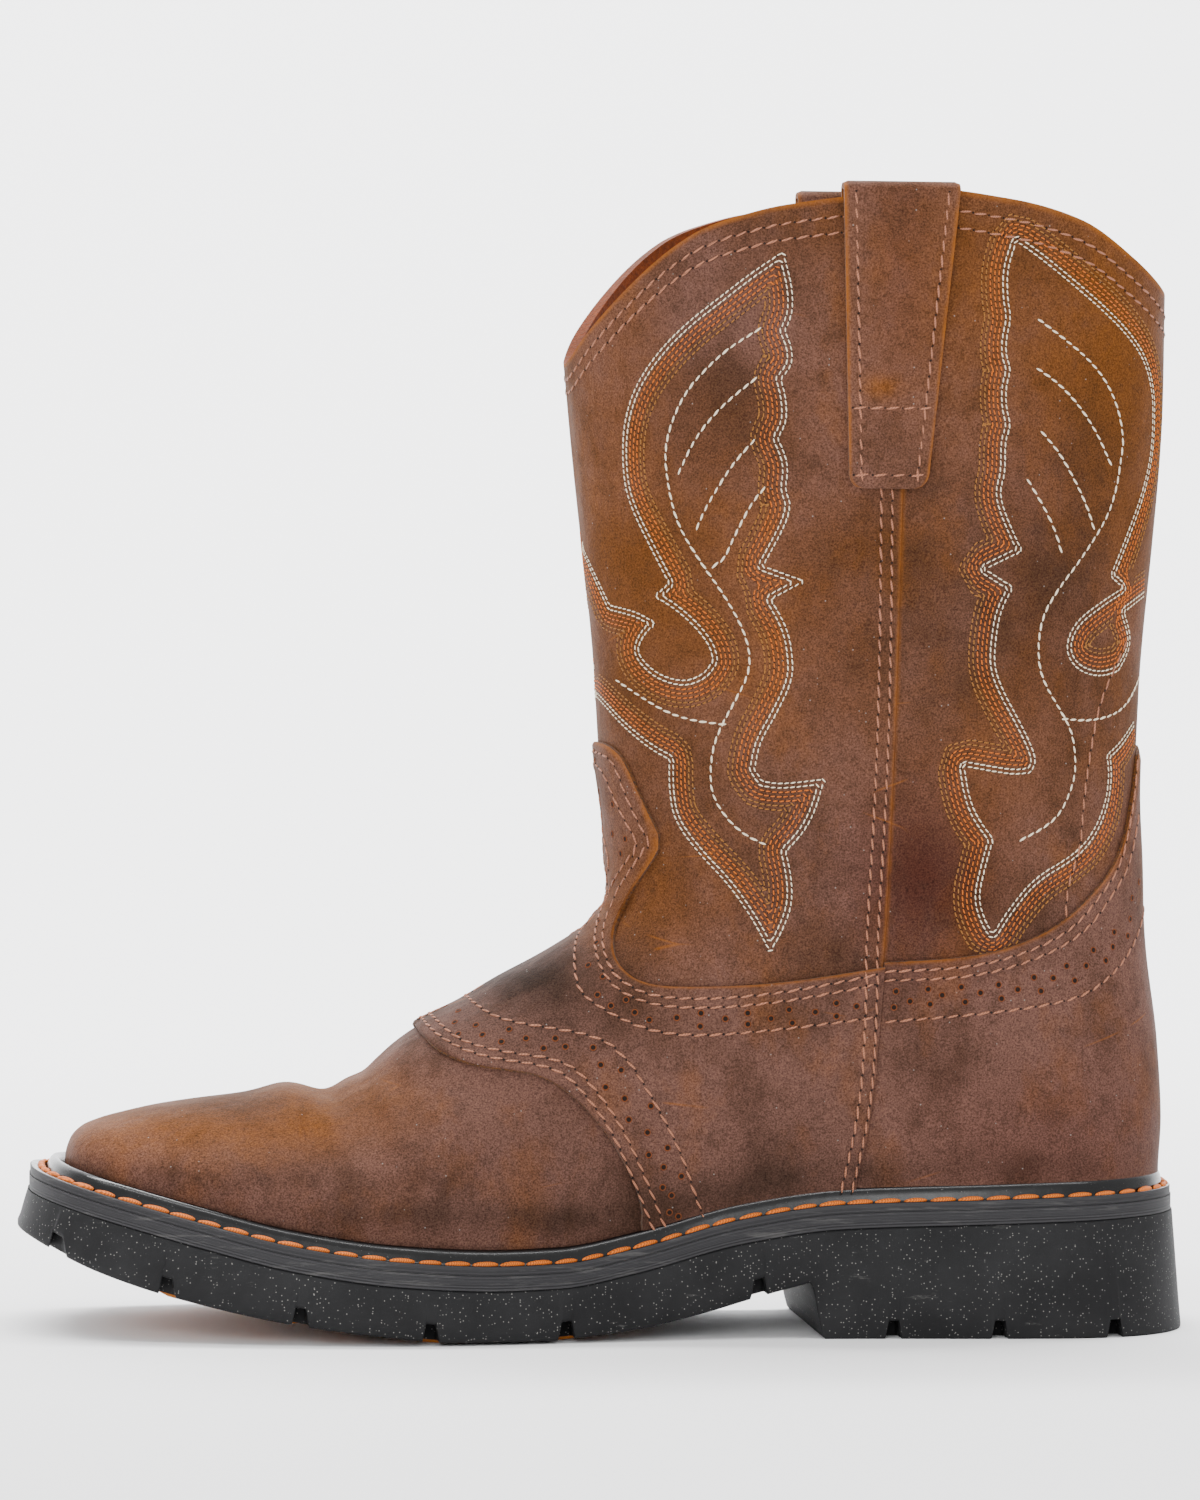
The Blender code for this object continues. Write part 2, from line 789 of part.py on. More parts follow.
def resample(points, count):
    """Points spread evenly along a broken line."""
    points = np.array(points, float)
    lengths = np.concatenate([[0], np.cumsum(np.linalg.norm(np.diff(points, axis=0), axis=1))])
    marks = np.linspace(0, lengths[-1], count)
    return np.stack([np.interp(marks, lengths, points[:, k]) for k in range(2)], axis=1)


def edge_points(table):
    """Edge of an overlay as places and angles on the lateral side."""
    found = []
    for station, rise in table:
        x = (station - 0.5) * LENGTH
        found.append(locate(x, float(welt_top(x)) + rise * UPPER_HEIGHT))
    return found


def welt_edge(start, end, count):
    """Lower edge of an overlay, just above the bead, between two angles."""
    found = []
    for angle in np.linspace(start, end, count):
        way = (1 - math.cos(angle)) / 2
        x = float(FOOT_OUTLINE.at(way))
        place, _ = locate(x, float(welt_top(x)) + BEAD + SADDLE_CLEAR + GAP)
        found.append((place, angle))
    return found


def patch(left, right, bottom, top):
    """Grid of places and angles filled between four edges that share their corners."""
    rows = len(left)
    columns = len(bottom)
    q = np.linspace(0, 1, rows)[:, None, None]
    p = np.linspace(0, 1, columns)[None, :, None]
    across = left[:, None, :] * (1 - p) + right[:, None, :] * p
    upwards = bottom[None, :, :] * (1 - q) + top[None, :, :] * q
    corners = (
        (1 - p) * (1 - q) * bottom[0] + p * (1 - q) * bottom[-1] + (1 - p) * q * top[0] + p * q * top[-1]
    )
    return across + upwards - corners


def unfolded(grid, passes):
    """The grid with its inner points moved until no cell folds over its neighbour."""
    scale = np.array([UPPER_HEIGHT, LENGTH / 5])
    grid = grid * scale
    for _ in range(passes):
        along = (grid[2:, 1:-1] - grid[:-2, 1:-1]) / 2
        across = (grid[1:-1, 2:] - grid[1:-1, :-2]) / 2
        twist = (grid[2:, 2:] - grid[:-2, 2:] - grid[2:, :-2] + grid[:-2, :-2]) / 4
        stiff = (across**2).sum(axis=2, keepdims=True)
        loose = (along**2).sum(axis=2, keepdims=True)
        skew = (along * across).sum(axis=2, keepdims=True)
        ends = stiff * (grid[2:, 1:-1] + grid[:-2, 1:-1]) + loose * (grid[1:-1, 2:] + grid[1:-1, :-2])
        grid[1:-1, 1:-1] = (ends - 2 * skew * twist) / (2 * (stiff + loose))
    return grid / scale


def overlay(name, grid, lift, material):
    """Leather overlay on both sides of the upper, joined on its centre line."""
    mirrored = grid[:, -2::-1].copy()
    mirrored[:, :, 1] = 2 * math.pi - mirrored[:, :, 1]
    both = np.concatenate([grid, mirrored], axis=1)
    inner = lifted(both[:, :, 0], both[:, :, 1], lift + OVERLAY_GAP)
    outer = lifted(both[:, :, 0], both[:, :, 1], lift + OVERLAY_GAP + OVERLAY)
    return shell(name, outer, inner, False, material)


SEAM_SPLIT = 1.5 * GAP / (LENGTH / 2)   # angle between an overlay's edge and the seam's line
RIDGE_LEAD = 0.03     # place by which the saddle's front edge leads on the vamp's ridge
SADDLE_ROWS = 14
SADDLE_COLUMNS = 12
UNFOLD_PASSES = 400


def saddle(material):
    """Saddle over the instep, with its tongue tab up the front of the shaft."""
    front = edge_points(SADDLE_FRONT)
    top = edge_points(SADDLE_TOP)
    ridge_start = (front[-1][0] - RIDGE_LEAD, math.pi)
    ridge_end = (top[-1][0], math.pi)
    front.append(ridge_start)
    top.append(ridge_end)
    seam_low = welt_edge(front[0][1], float(seam_angle(0.05)) + SEAM_SPLIT, 5)
    front[0] = seam_low[0]
    seam_high = [(place, float(seam_angle(place)) + SEAM_SPLIT) for place in np.linspace(0.12, top[0][0] - 0.03, 5)]
    left = resample(seam_low + seam_high + [top[0]], SADDLE_ROWS)
    right = resample([ridge_start, ridge_end], SADDLE_ROWS)
    grid = patch(left, right, resample(front, SADDLE_COLUMNS), resample(top, SADDLE_COLUMNS))
    grid = unfolded(grid, UNFOLD_PASSES)
    lift = panel_step(grid_places(grid), grid_angles(grid))
    return overlay("saddle", grid, np.maximum(lift, SEAM_STEP * ease(grid_places(grid), 0.30, 0.36)), material)


def grid_places(grid):
    both = np.concatenate([grid, grid[:, -2::-1]], axis=1)
    return both[:, :, 0]


def grid_angles(grid):
    both = np.concatenate([grid, grid[:, -2::-1]], axis=1)
    return both[:, :, 1]


def counter(material):
    """Counter overlay round the heel, from one side seam to the other."""
    rows, columns = 10, 11
    top = edge_points(COUNTER_TOP)
    top.append((top[-1][0] + 0.004, 0.0))
    low_seam = float(seam_angle(0.05)) - SEAM_SPLIT
    bottom = welt_edge(low_seam, 0.0, 7)
    start = bottom[0][0]
    seam = [(place, float(seam_angle(place)) - SEAM_SPLIT) for place in np.linspace(start, top[0][0], 6)]
    top[0] = seam[-1]
    bottom[0] = seam[0]
    left = resample(seam, rows)
    right = resample([bottom[-1], top[-1]], rows)
    grid = unfolded(patch(left, right, resample(bottom, columns), resample(top, columns)), UNFOLD_PASSES)
    return overlay("counter", grid, 0.0, material)


def strap_half(way):
    """Half width of the strap: 0 at its outside foot, 1 at the collar."""
    half = (STRAP_FOOT + (STRAP_TOP - STRAP_FOOT) * way) / 2
    corner = np.clip(way * STRAP_DROP / STRAP_CORNER, 0, 1)
    return half - STRAP_CORNER * (1 - np.sqrt(1 - (1 - corner) ** 2)) * 0.8


def pull_strap(name, side, material):
    """Pull strap of one side: up the outside, over the collar and down the inside."""
    rows_up = [0.0, 0.012, 0.03, 0.055, 0.2, 0.4, 0.6, 0.8, 0.97]
    turns = np.linspace(0, math.pi, 7)
    rows_down = [0.03, 0.3, 0.65, 1.0]
    shares = np.linspace(-1, 1, 5)
    sign = (1, -1)[side]
    under = []
    over = []

    def column(way, share):
        middle = (STRAP_STATION - 0.5) * LENGTH + STRAP_SWAY * (1 - way)
        return middle + share * float(strap_half(way))

    def crest(x):
        back_x = back_point(1.0)[0]
        front_x = front_point(1.0)[0]
        return float(side_line(1.0, (x - back_x) / (front_x - back_x))[1])

    def skin(x, z):
        place, angle = locate(x, z)
        return float(form(place, angle if side == 0 else 2 * math.pi - angle)[1]) * sign

    def add(way, measure):
        near = []
        far = []
        for share in shares:
            x = column(way, share)
            for row, depth in ((near, 0.0), (far, STRAP)):
                y, z = measure(x, depth)
                row.append((x, sign * y, z))
        under.append(near)
        over.append(far)

    for way in rows_up:
        def outside(x, depth):
            z = crest(x) - STRAP_DROP * (1 - way)
            return skin(x, z) + SEAM_STEP + GAP + depth, z
        add(way, outside)
    for turn in turns:
        def measure(x, depth):
            top = crest(x)
            width = (WALL + SEAM_STEP) / 2 + GAP + depth
            middle = skin(x, top) - (WALL - SEAM_STEP) / 2
            return middle + width * math.cos(turn), top + (0.5 * MM + depth) * math.sin(turn)
        add(1.0, measure)
    for share_down in rows_down:
        def inside(x, depth):
            z = crest(x) - STRAP_INSIDE * share_down
            return skin(x, z) - WALL - GAP - depth, z
        add(1 - STRAP_INSIDE / STRAP_DROP * share_down, inside)
    return shell(name, np.array(over), np.array(under), False, material)


def clear_scene():
    for thing in list(bpy.data.objects):
        bpy.data.objects.remove(thing, do_unlink=True)


def build():
    clear_scene()
    rubber = make_material("black moulded rubber", (0.012, 0.012, 0.012), 0.55)
    tan_rubber = make_material("tan rubber", (0.42, 0.2, 0.07), 0.6)
    trimmed = make_material("trimmed grey leatherboard", (0.07, 0.062, 0.055), 0.6)
    waxed = make_material("black waxed welt", (0.01, 0.01, 0.01), 0.3)
    board = make_material("tan insole board", (0.32, 0.17, 0.08), 0.8)
    brown = make_material("oiled brown leather", (0.13, 0.065, 0.04), 0.65)
    darker = make_material("oiled brown overlay leather", (0.11, 0.055, 0.036), 0.65)
    webbing = make_material("brown strap leather", (0.14, 0.07, 0.042), 0.7)
    sole = outsole(rubber)
    pocket = insert_slab("pocket cutter", GAP, GAP, False, tan_rubber)
    cut(sole, pocket)
    insert_slab("tread_insert", 0.0, 0.0, True, tan_rubber)
    midsole(trimmed)
    welt(waxed)
    insole(board)
    upper(brown)
    saddle(darker)
    counter(darker)
    pull_strap("pull_strap_lateral", 0, webbing)
    pull_strap("pull_strap_medial", 1, webbing)


build()
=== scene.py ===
"""Western work boot, left foot: leather, seams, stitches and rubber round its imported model.

+X points to the toe, +Y to the outer (lateral) side and +Z up. Lengths are in metres.
"""
import math

import bmesh
import bpy
import numpy as np
from bpy.props import FloatProperty, FloatVectorProperty, PointerProperty
from mathutils import Matrix, Vector


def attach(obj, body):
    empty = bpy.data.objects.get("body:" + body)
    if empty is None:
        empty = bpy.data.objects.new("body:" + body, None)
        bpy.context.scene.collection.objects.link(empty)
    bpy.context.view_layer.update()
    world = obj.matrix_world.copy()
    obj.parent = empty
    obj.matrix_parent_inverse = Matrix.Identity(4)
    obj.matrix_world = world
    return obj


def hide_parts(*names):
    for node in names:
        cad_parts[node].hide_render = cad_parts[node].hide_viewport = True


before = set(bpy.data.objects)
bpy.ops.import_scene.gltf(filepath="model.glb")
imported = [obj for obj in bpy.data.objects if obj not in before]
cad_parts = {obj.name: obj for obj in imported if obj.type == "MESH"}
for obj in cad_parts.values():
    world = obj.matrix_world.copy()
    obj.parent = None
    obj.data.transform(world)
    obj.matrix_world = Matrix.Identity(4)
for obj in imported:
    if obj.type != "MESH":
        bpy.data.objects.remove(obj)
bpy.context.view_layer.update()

bl_info = {
    "name": "Western work boot",
    "version": (1, 0, 0),
    "blender": (4, 5, 0),
    "location": "View3D > Sidebar > Boot",
    "description": "Builds the leather, seams, stitches and sole of a pull-on western work boot",
    "category": "Object",
}

MM = 0.001

# Sizes shared with the solids
LENGTH = 305 * MM
BALL_WIDTH = 112 * MM
HEEL_SEAT = 36.6 * MM
FORE_SOLE = 20.0 * MM
TOE_RISE = 22.2 * MM
ARCH_RISE = 14.5 * MM
TOE_SPRING = 26.3 * MM
UPPER_HEIGHT = 258 * MM
COLLAR_CROWN = 34 * MM
SHAFT_WIDTH = 96 * MM
ANKLE_WIDTH = 81 * MM
WALL = 2.2 * MM
FLANGE = 2.4 * MM
BEAD = 3.2 * MM
MIDSOLE = 3.4 * MM
INSERT_STAND = 0.8 * MM
REACH_HEEL = 4.6 * MM
REACH_SIDE = 8.4 * MM
REACH_TOE = 9.0 * MM
SOLE_FLARE = 3.2 * MM
HEEL_CAP = 38 * MM
TOE_CAP = 27 * MM
BREAST_SHARE = 0.323
BREAST_LEAN = 4.2 * MM
NOTCH_WIDTH = 4.2 * MM
NOTCH_DEPTH = 4.6 * MM
RIM_WIDTH = 8 * MM         # notched rim of the outsole
STRAP_TOP = 30 * MM
STRAP_FOOT = 20 * MM
STRAP_DROP = 76 * MM
STRAP_INSIDE = 58 * MM
STRAP_CORNER = 4 * MM
STRAP_STATION = 0.271
STRAP_SWAY = 2.5 * MM
MEDIAL_RISE = 2.4 * MM     # collar's medial side over its lateral side
CREASE_REACH = 18 * MM     # how far a crease runs round the foot
CREASE_BEND = 6.0          # curve of a crease, in 1 / m
WAVE_HEIGHT = 0.35 * MM    # slow waves in the shaft's leather
RIPPLE_HEIGHT = 0.16 * MM
WAVES_FROM = 120 * MM      # heights between which they set in
WAVES_FULL = 170 * MM

# Layers of leather, each a height above the form of the upper
PANEL_STEP = 0.9 * MM      # front shaft panel lapped over the back panel
HAIR_GAP = 0.12 * MM       # under each overlay
COUNTER_TOP_LIFT = 1.5 * MM
SADDLE_TOP_LIFT = 2.5 * MM
STRAP_LIFT = 1.15 * MM
STRAP_THICKNESS = 2.0 * MM
STRAP_ROUND = 0.5 * MM     # drop of the strap's rounded edges
OVERLAY_ROUND = 0.55 * MM  # drop of an overlay's rounded edges
SEAM_LAP = 0.5 * MM        # width of the step at the side seam
SADDLE_SPLIT = 0.0002      # angles between the side seam and the overlays' edges
COUNTER_SPLIT = 0.001
SEAM_SADDLE_PLACE = 0.482  # the side seam's rows lie on the overlays below this place

# Layers of the sole
WELT_CLEAR = 0.15 * MM     # welt's inner edge off the upper
MIDSOLE_STAND = 0.25 * MM  # midsole's edge past the welt's
MIDSOLE_DROP = 0.1 * MM    # gap between the welt and the midsole
MIDSOLE_FOOT = 0.5 * MM    # midsole's lower side under its own thickness
OUTSOLE_STAND = 0.6 * MM   # outsole's upper edge past the welt's
OUTSOLE_DROP = 0.7 * MM    # outsole's top under the midsole's thickness
OUTSOLE_ROUND = 0.9 * MM   # outsole's rounded lower edge

# Stitches and holes
THREAD_LIFT = 0.05 * MM    # seam thread's middle over the leather
ORNAMENT_LIFT = 0.04 * MM
STITCH_SIZES = (0.88, 1.08)  # smallest and largest stitch, as shares of the real one
SEAM_SHARE = 0.84          # length of a stitch as a share of its pitch
ORNAMENT_SHARE = 0.86
WELT_SHARE = 0.94
WELT_ROW = 0.32            # place of the welt's row between its edge and the upper
NEEDLE_WIDTH = 1.25        # width of a seam's needle hole as a share of its thread
COLLAR_ROWS = (3.2 * MM, 5.8 * MM)
STRAP_ROW_INSET = 3.0 * MM
STRAP_BOX = (0.045, 0.27)  # ways up the strap where its stitches run across
HOLE_EDGE = 0.16 * MM      # thickness of a brogue hole's rim

SOLE_PLAN = [
    # station, lateral, medial
    (0.00, 0.70, 0.70),
    (0.15, 0.73, 0.71),
    (0.30, 0.71, 0.67),
    (0.42, 0.75, 0.63),
    (0.52, 0.85, 0.73),
    (0.62, 0.965, 0.89),
    (0.68, 1.00, 0.975),
    (0.73, 0.985, 1.00),
    (0.80, 0.93, 0.985),
    (0.88, 0.83, 0.92),
    (0.95, 0.72, 0.82),
    (1.00, 0.63, 0.75),
]
WELT_LINE = [
    # station, heel share, toe share
    (0.00, 1.06, 0.0),
    (0.18, 0.95, 0.0),
    (0.31, 0.87, 0.0),
    (0.39, 0.67, 0.0),
    (0.485, 0.23, 0.0),
    (0.55, 0.02, 0.0),
    (0.60, 0.0, 0.0),
    (0.685, 0.0, 0.06),
    (0.77, 0.0, 0.22),
    (0.85, 0.0, 0.48),
    (0.935, 0.0, 0.79),
    (1.00, 0.0, 1.03),
]
TREAD_LINE = [
    # station, arch share, toe share
    (0.336, 1.0, 0.0),
    (0.39, 0.70, 0.0),
    (0.43, 0.45, 0.0),
    (0.48, 0.18, 0.0),
    (0.52, 0.07, 0.0),
    (0.56, 0.0, 0.0),
    (0.645, 0.0, 0.0),
    (0.685, 0.0, 0.045),
    (0.77, 0.0, 0.165),
    (0.87, 0.0, 0.41),
    (0.935, 0.0, 0.67),
    (1.00, 0.0, 1.0),
]
FRONT_LINE = [
    # place, setback, rise
    (0.000, 0.000, -0.0093),
    (0.020, 0.000, 0.014),
    (0.040, 0.005, 0.036),
    (0.055, 0.014, 0.050),
    (0.075, 0.031, 0.064),
    (0.090, 0.048, 0.075),
    (0.120, 0.082, 0.095),
    (0.190, 0.150, 0.127),
    (0.225, 0.184, 0.143),
    (0.250, 0.209, 0.149),
    (0.275, 0.231, 0.155),
    (0.300, 0.252, 0.168),
    (0.325, 0.269, 0.186),
    (0.365, 0.303, 0.219),
    (0.405, 0.337, 0.241),
    (0.445, 0.372, 0.266),
    (0.485, 0.407, 0.287),
    (0.525, 0.441, 0.310),
    (0.550, 0.464, 0.338),
    (0.570, 0.468, 0.362),
    (0.620, 0.465, 0.425),
    (0.670, 0.458, 0.487),
    (0.760, 0.451, 0.590),
    (0.870, 0.441, 0.712),
    (1.000, 0.425, 0.892),
]
BACK_LINE = [
    # place, setback, rise
    (0.000, 0.000, -0.0093),
    (0.040, 0.000, 0.014),
    (0.140, -0.002, 0.065),
    (0.280, 0.002, 0.145),
    (0.480, 0.012, 0.250),
    (0.600, 0.015, 0.330),
    (0.660, 0.018, 0.400),
    (0.740, 0.014, 0.500),
    (0.850, 0.004, 0.650),
    (0.940, -0.003, 0.790),
    (1.000, -0.005, 0.900),
]
COLLAR_LINE = [
    # way, crown
    (0.00, 0.00),
    (0.08, 0.31),
    (0.18, 0.64),
    (0.31, 0.86),
    (0.47, 1.00),
    (0.57, 1.00),
    (0.67, 0.99),
    (0.765, 0.93),
    (0.81, 0.87),
    (0.85, 0.77),
    (0.885, 0.65),
    (0.92, 0.50),
    (0.95, 0.35),
    (0.98, 0.17),
    (1.00, 0.00),
]
SHAFT_LINE = [
    # place, share
    (0.00, -0.25),
    (0.45, -0.18),
    (0.58, 0.00),
    (0.75, 0.35),
    (1.00, 1.00),
]
FOOT_SECTION = [
    # station, exponent, swell
    (0.00, 2.6, 0.04),
    (0.35, 2.4, 0.05),
    (0.60, 2.3, 0.06),
    (0.80, 2.3, 0.06),
    (0.92, 2.5, 0.03),
    (1.00, 2.8, 0.00),
]
SIDE_SEAM = [
    # place, station
    (0.00, 0.298),
    (0.15, 0.286),
    (0.30, 0.280),
    (0.50, 0.275),
    (0.75, 0.267),
    (1.00, 0.262),
]
WELT_SECTION = [
    # share from the edge to the upper, rise as a share of the bead
    (0.00, -0.10), (0.03, -0.02), (0.08, 0.00), (0.24, 0.00), (0.32, -0.06), (0.40, -0.14), (0.45, -0.10),
    (0.49, 0.12), (0.53, 0.46), (0.59, 0.80), (0.67, 1.06), (0.76, 1.16), (0.85, 1.08), (0.92, 0.84),
    (0.97, 0.58), (1.00, 0.30),
]
UPPER_ROWS = [
    # from place, to place, rows
    (0.00, 0.12, 46),
    (0.12, 0.62, 120),
    (0.62, 1.00, 96),
]
INSTEP_PLACE = 0.56        # the foot's cross section ends here
BLEND_PLACE = 0.24         # and starts to turn into the shaft's oval here
SOLE_LINE_END = 0.62       # up to here the columns follow the curve of the welt
COLLAR_LINE_START = 0.55   # from here they follow the curve of the collar
SHAFT_POWER = 2.25
LEG_SLOPE = 1.5
# Stations of the notches in the outsole's rim
LUG_NOTCHES = [0.380, 0.545, 0.660, 0.768, 0.878, 0.968]
HEEL_NOTCHES = [0.075, 0.175, 0.265]

# Camera: the photograph's view from the lateral side, turned a little to the toe
CAMERA_PLACE = Vector((0.181, 1.830, 0.1956))
CAMERA_TURN = math.radians(5.6)
CAMERA_DIP = math.radians(1.416)
CAMERA_ROLL = math.radians(0.45)
CAMERA_FOCUS = 7040.0
IMAGE_WIDTH = 1200.0
IMAGE_HEIGHT = 1500.0
SENSOR = 36.0

# Places in the photograph, in its own pixels, that the seams and holes follow
SADDLE_EDGE_FRONT_PX = [
    (408, 1016), (413, 1024), (425, 1040), (440, 1056), (470, 1068), (500, 1072), (540, 1077), (570, 1095),
    (600, 1125), (625, 1165), (640, 1200), (643, 1226),
]
SADDLE_EDGE_TOP_PX = [
    (598, 741), (612, 743), (628, 757), (640, 785), (656, 820), (665, 838), (662, 852), (640, 885),
    (622, 915), (614, 950), (625, 975), (650, 987), (690, 988), (780, 983), (880, 966),
]
COUNTER_EDGE_PX = [
    (884, 962), (960, 958), (1010, 948), (1060, 925), (1100, 890), (1120, 850), (1130, 800), (1136, 755),
]
SEAM_ROWS_PX = {
    "front_outer": [
        (421, 1020), (440, 1043), (468, 1057), (500, 1064), (550, 1070), (575, 1085), (610, 1130),
        (635, 1190), (650, 1226),
    ],
    "front_inner": [
        (429, 1017), (455, 1043), (480, 1052), (510, 1057), (560, 1063), (585, 1079), (619, 1124),
        (644, 1180), (661, 1222),
    ],
    "front_single": [
        (464, 996), (480, 1013), (505, 1027), (560, 1033), (590, 1037), (620, 1050), (640, 1080),
        (660, 1115), (680, 1155), (695, 1200), (703, 1218),
    ],
    "top_outer": [
        (599, 750), (611, 753), (622, 762), (635, 800), (655, 842), (636, 872), (616, 905), (605, 945),
        (614, 977), (645, 997), (700, 1000), (780, 992), (868, 974),
    ],
    "top_inner": [
        (600, 760), (611, 768), (626, 806), (645, 844), (628, 870), (608, 903), (597, 945), (606, 982),
        (642, 1005), (700, 1009), (780, 1001), (866, 984),
    ],
    "top_single": [
        (603, 800), (610, 822), (614, 845), (619, 860), (610, 885), (600, 905), (583, 935), (578, 965),
        (580, 990), (590, 1003), (640, 1030), (690, 1036), (760, 1030), (866, 1016),
    ],
    "counter_outer": [
        (889, 970), (960, 967), (1010, 957), (1060, 936), (1093, 906), (1117, 868), (1129, 800),
        (1132, 765),
    ],
    "counter_inner": [
        (889, 979), (960, 977), (1014, 966), (1064, 945), (1099, 915), (1124, 872), (1133, 820),
    ],
    "counter_single": [
        (890, 1020), (960, 1015), (1030, 1008), (1080, 998), (1110, 975), (1130, 945), (1140, 915),
        (1143, 895),
    ],
    "back_single": [
        (1126, 646), (1100, 700), (1090, 752), (1083, 805), (1081, 847), (1071, 883), (1066, 927),
    ],
    "seam_edge": [
        (892, 494), (891, 620), (887, 780), (877, 940), (875, 1010), (872, 1080), (865, 1130), (852, 1186),
    ],
    "seam_inner": [
        (881, 492), (880, 620), (876, 780), (866, 940), (864, 1010), (861, 1080), (854, 1130), (841, 1186),
    ],
}
SADDLE_HOLES_PX = [
    (445, 1015), (462, 1019), (458, 1030), (479, 1032), (461, 1041), (485, 1041), (511, 1035), (503, 1047),
    (527, 1043), (544, 1052), (556, 1042), (566, 1050), (594, 1050), (601, 1067), (622, 1071), (605, 1089),
    (624, 1099), (649, 1106), (627, 1120), (645, 1132), (665, 1147), (646, 1154), (661, 1166), (679, 1175),
    (660, 1186), (669, 1194), (667, 1211), (676, 1215),
    (606, 790), (621, 803), (621, 833), (633, 838), (629, 853), (614, 872), (621, 880), (603, 926),
    (601, 948), (592, 971), (606, 981), (600, 998), (613, 1008), (628, 1002), (636, 1014), (650, 1021),
    (677, 1018), (701, 1013), (700, 1026), (725, 1018), (747, 1012), (747, 1023), (770, 1017), (788, 1008),
    (791, 1021), (814, 1010), (835, 1001), (835, 1014), (855, 1004),
]
COUNTER_HOLES_PX = [
    (895, 990), (893, 1006), (909, 1000), (927, 988), (929, 1003), (941, 994), (960, 986), (964, 1001),
    (979, 992), (997, 984), (1000, 998), (1016, 989), (1032, 977), (1039, 991), (1051, 978), (1064, 966),
    (1072, 981), (1083, 966), (1090, 950), (1102, 961), (1109, 947), (1111, 932), (1124, 936), (1127, 919),
    (1129, 898), (1135, 882),
]
# Wing-shaped ornament in rows of stitches: the outer row of each wing, and its single vein lines
FRONT_WING_PX = [
    (587, 547), (598, 572), (613, 605), (640, 612), (657, 623), (647, 633), (640, 646), (641, 656),
    (655, 671), (672, 679), (689, 681), (706, 673), (714, 660), (711, 646), (697, 627), (676, 608),
    (657, 596), (671, 583), (651, 543), (634, 507), (627, 481), (625, 445), (628, 415), (638, 384),
    (659, 352), (687, 323), (718, 299), (750, 274), (783, 252), (792, 285), (793, 312), (785, 331),
    (792, 348), (792, 365), (781, 379), (786, 398), (787, 421), (778, 438), (786, 457), (788, 471),
    (785, 490), (791, 503), (786, 524), (763, 566), (804, 581), (771, 599), (788, 629), (793, 660),
    (792, 681), (777, 713), (760, 742), (755, 769), (763, 781), (781, 784), (824, 779), (815, 811),
    (803, 833), (786, 851), (792, 879), (792, 906), (781, 934), (770, 951), (752, 917), (729, 883),
    (701, 854), (676, 820), (671, 788), (671, 759), (651, 748), (624, 725), (603, 700), (595, 692),
    (590, 660),
]
BACK_WING_PX = [
    (1145, 597), (1125, 612), (1132, 635), (1130, 652), (1119, 671), (1100, 677), (1079, 671), (1067, 656),
    (1067, 639), (1077, 620), (1103, 601), (1124, 588), (1111, 576), (1128, 534), (1143, 492), (1151, 455),
    (1153, 424), (1153, 392), (1145, 360), (1128, 335), (1103, 310), (1071, 283), (1039, 257), (1016, 241),
    (1007, 268), (1007, 297), (1011, 318), (1006, 339), (1006, 356), (1011, 369), (1006, 386), (1006, 407),
    (1011, 426), (1005, 440), (1005, 473), (999, 492), (1005, 515), (1021, 551), (984, 569), (1012, 587),
    (999, 612), (994, 646), (994, 669), (1004, 694), (1018, 719), (1031, 745), (1036, 761), (1031, 772),
    (1014, 775), (964, 766), (968, 793), (976, 816), (993, 839), (985, 868), (978, 898), (985, 921),
    (993, 934), (1010, 908), (1035, 879), (1073, 856), (1092, 835), (1105, 805), (1109, 776), (1107, 755),
    (1121, 742), (1134, 723),
]
VEINS_PX = [
    [(758, 330), (729, 348), (706, 369), (685, 394), (672, 424), (666, 453), (671, 492), (680, 526),
     (701, 561), (725, 595), (744, 629), (751, 656), (748, 677), (735, 702), (723, 724), (714, 746),
     (711, 774), (714, 797), (729, 820), (746, 835), (763, 843)],
    [(723, 724), (697, 721), (672, 714), (647, 700), (620, 681)],
    [(754, 380), (723, 405), (697, 436), (681, 471)],
    [(753, 442), (733, 464), (708, 505), (699, 526)],
    [(763, 490), (752, 503), (735, 536), (725, 559), (716, 565)],
    [(1041, 321), (1065, 339), (1088, 358), (1107, 381), (1119, 409), (1124, 440), (1121, 460), (1117, 488),
     (1107, 519), (1081, 559), (1056, 591), (1041, 618), (1037, 650), (1041, 679), (1065, 718), (1073, 736),
     (1076, 768), (1071, 790), (1060, 814), (1044, 828), (1023, 839)],
    [(1065, 719), (1090, 721), (1115, 715), (1130, 702), (1141, 679)],
    [(1040, 370), (1060, 384), (1081, 407), (1098, 434), (1110, 462)],
    [(1044, 434), (1060, 453), (1077, 484), (1088, 509), (1093, 526)],
    [(1029, 482), (1046, 511), (1056, 534), (1060, 549)],
]

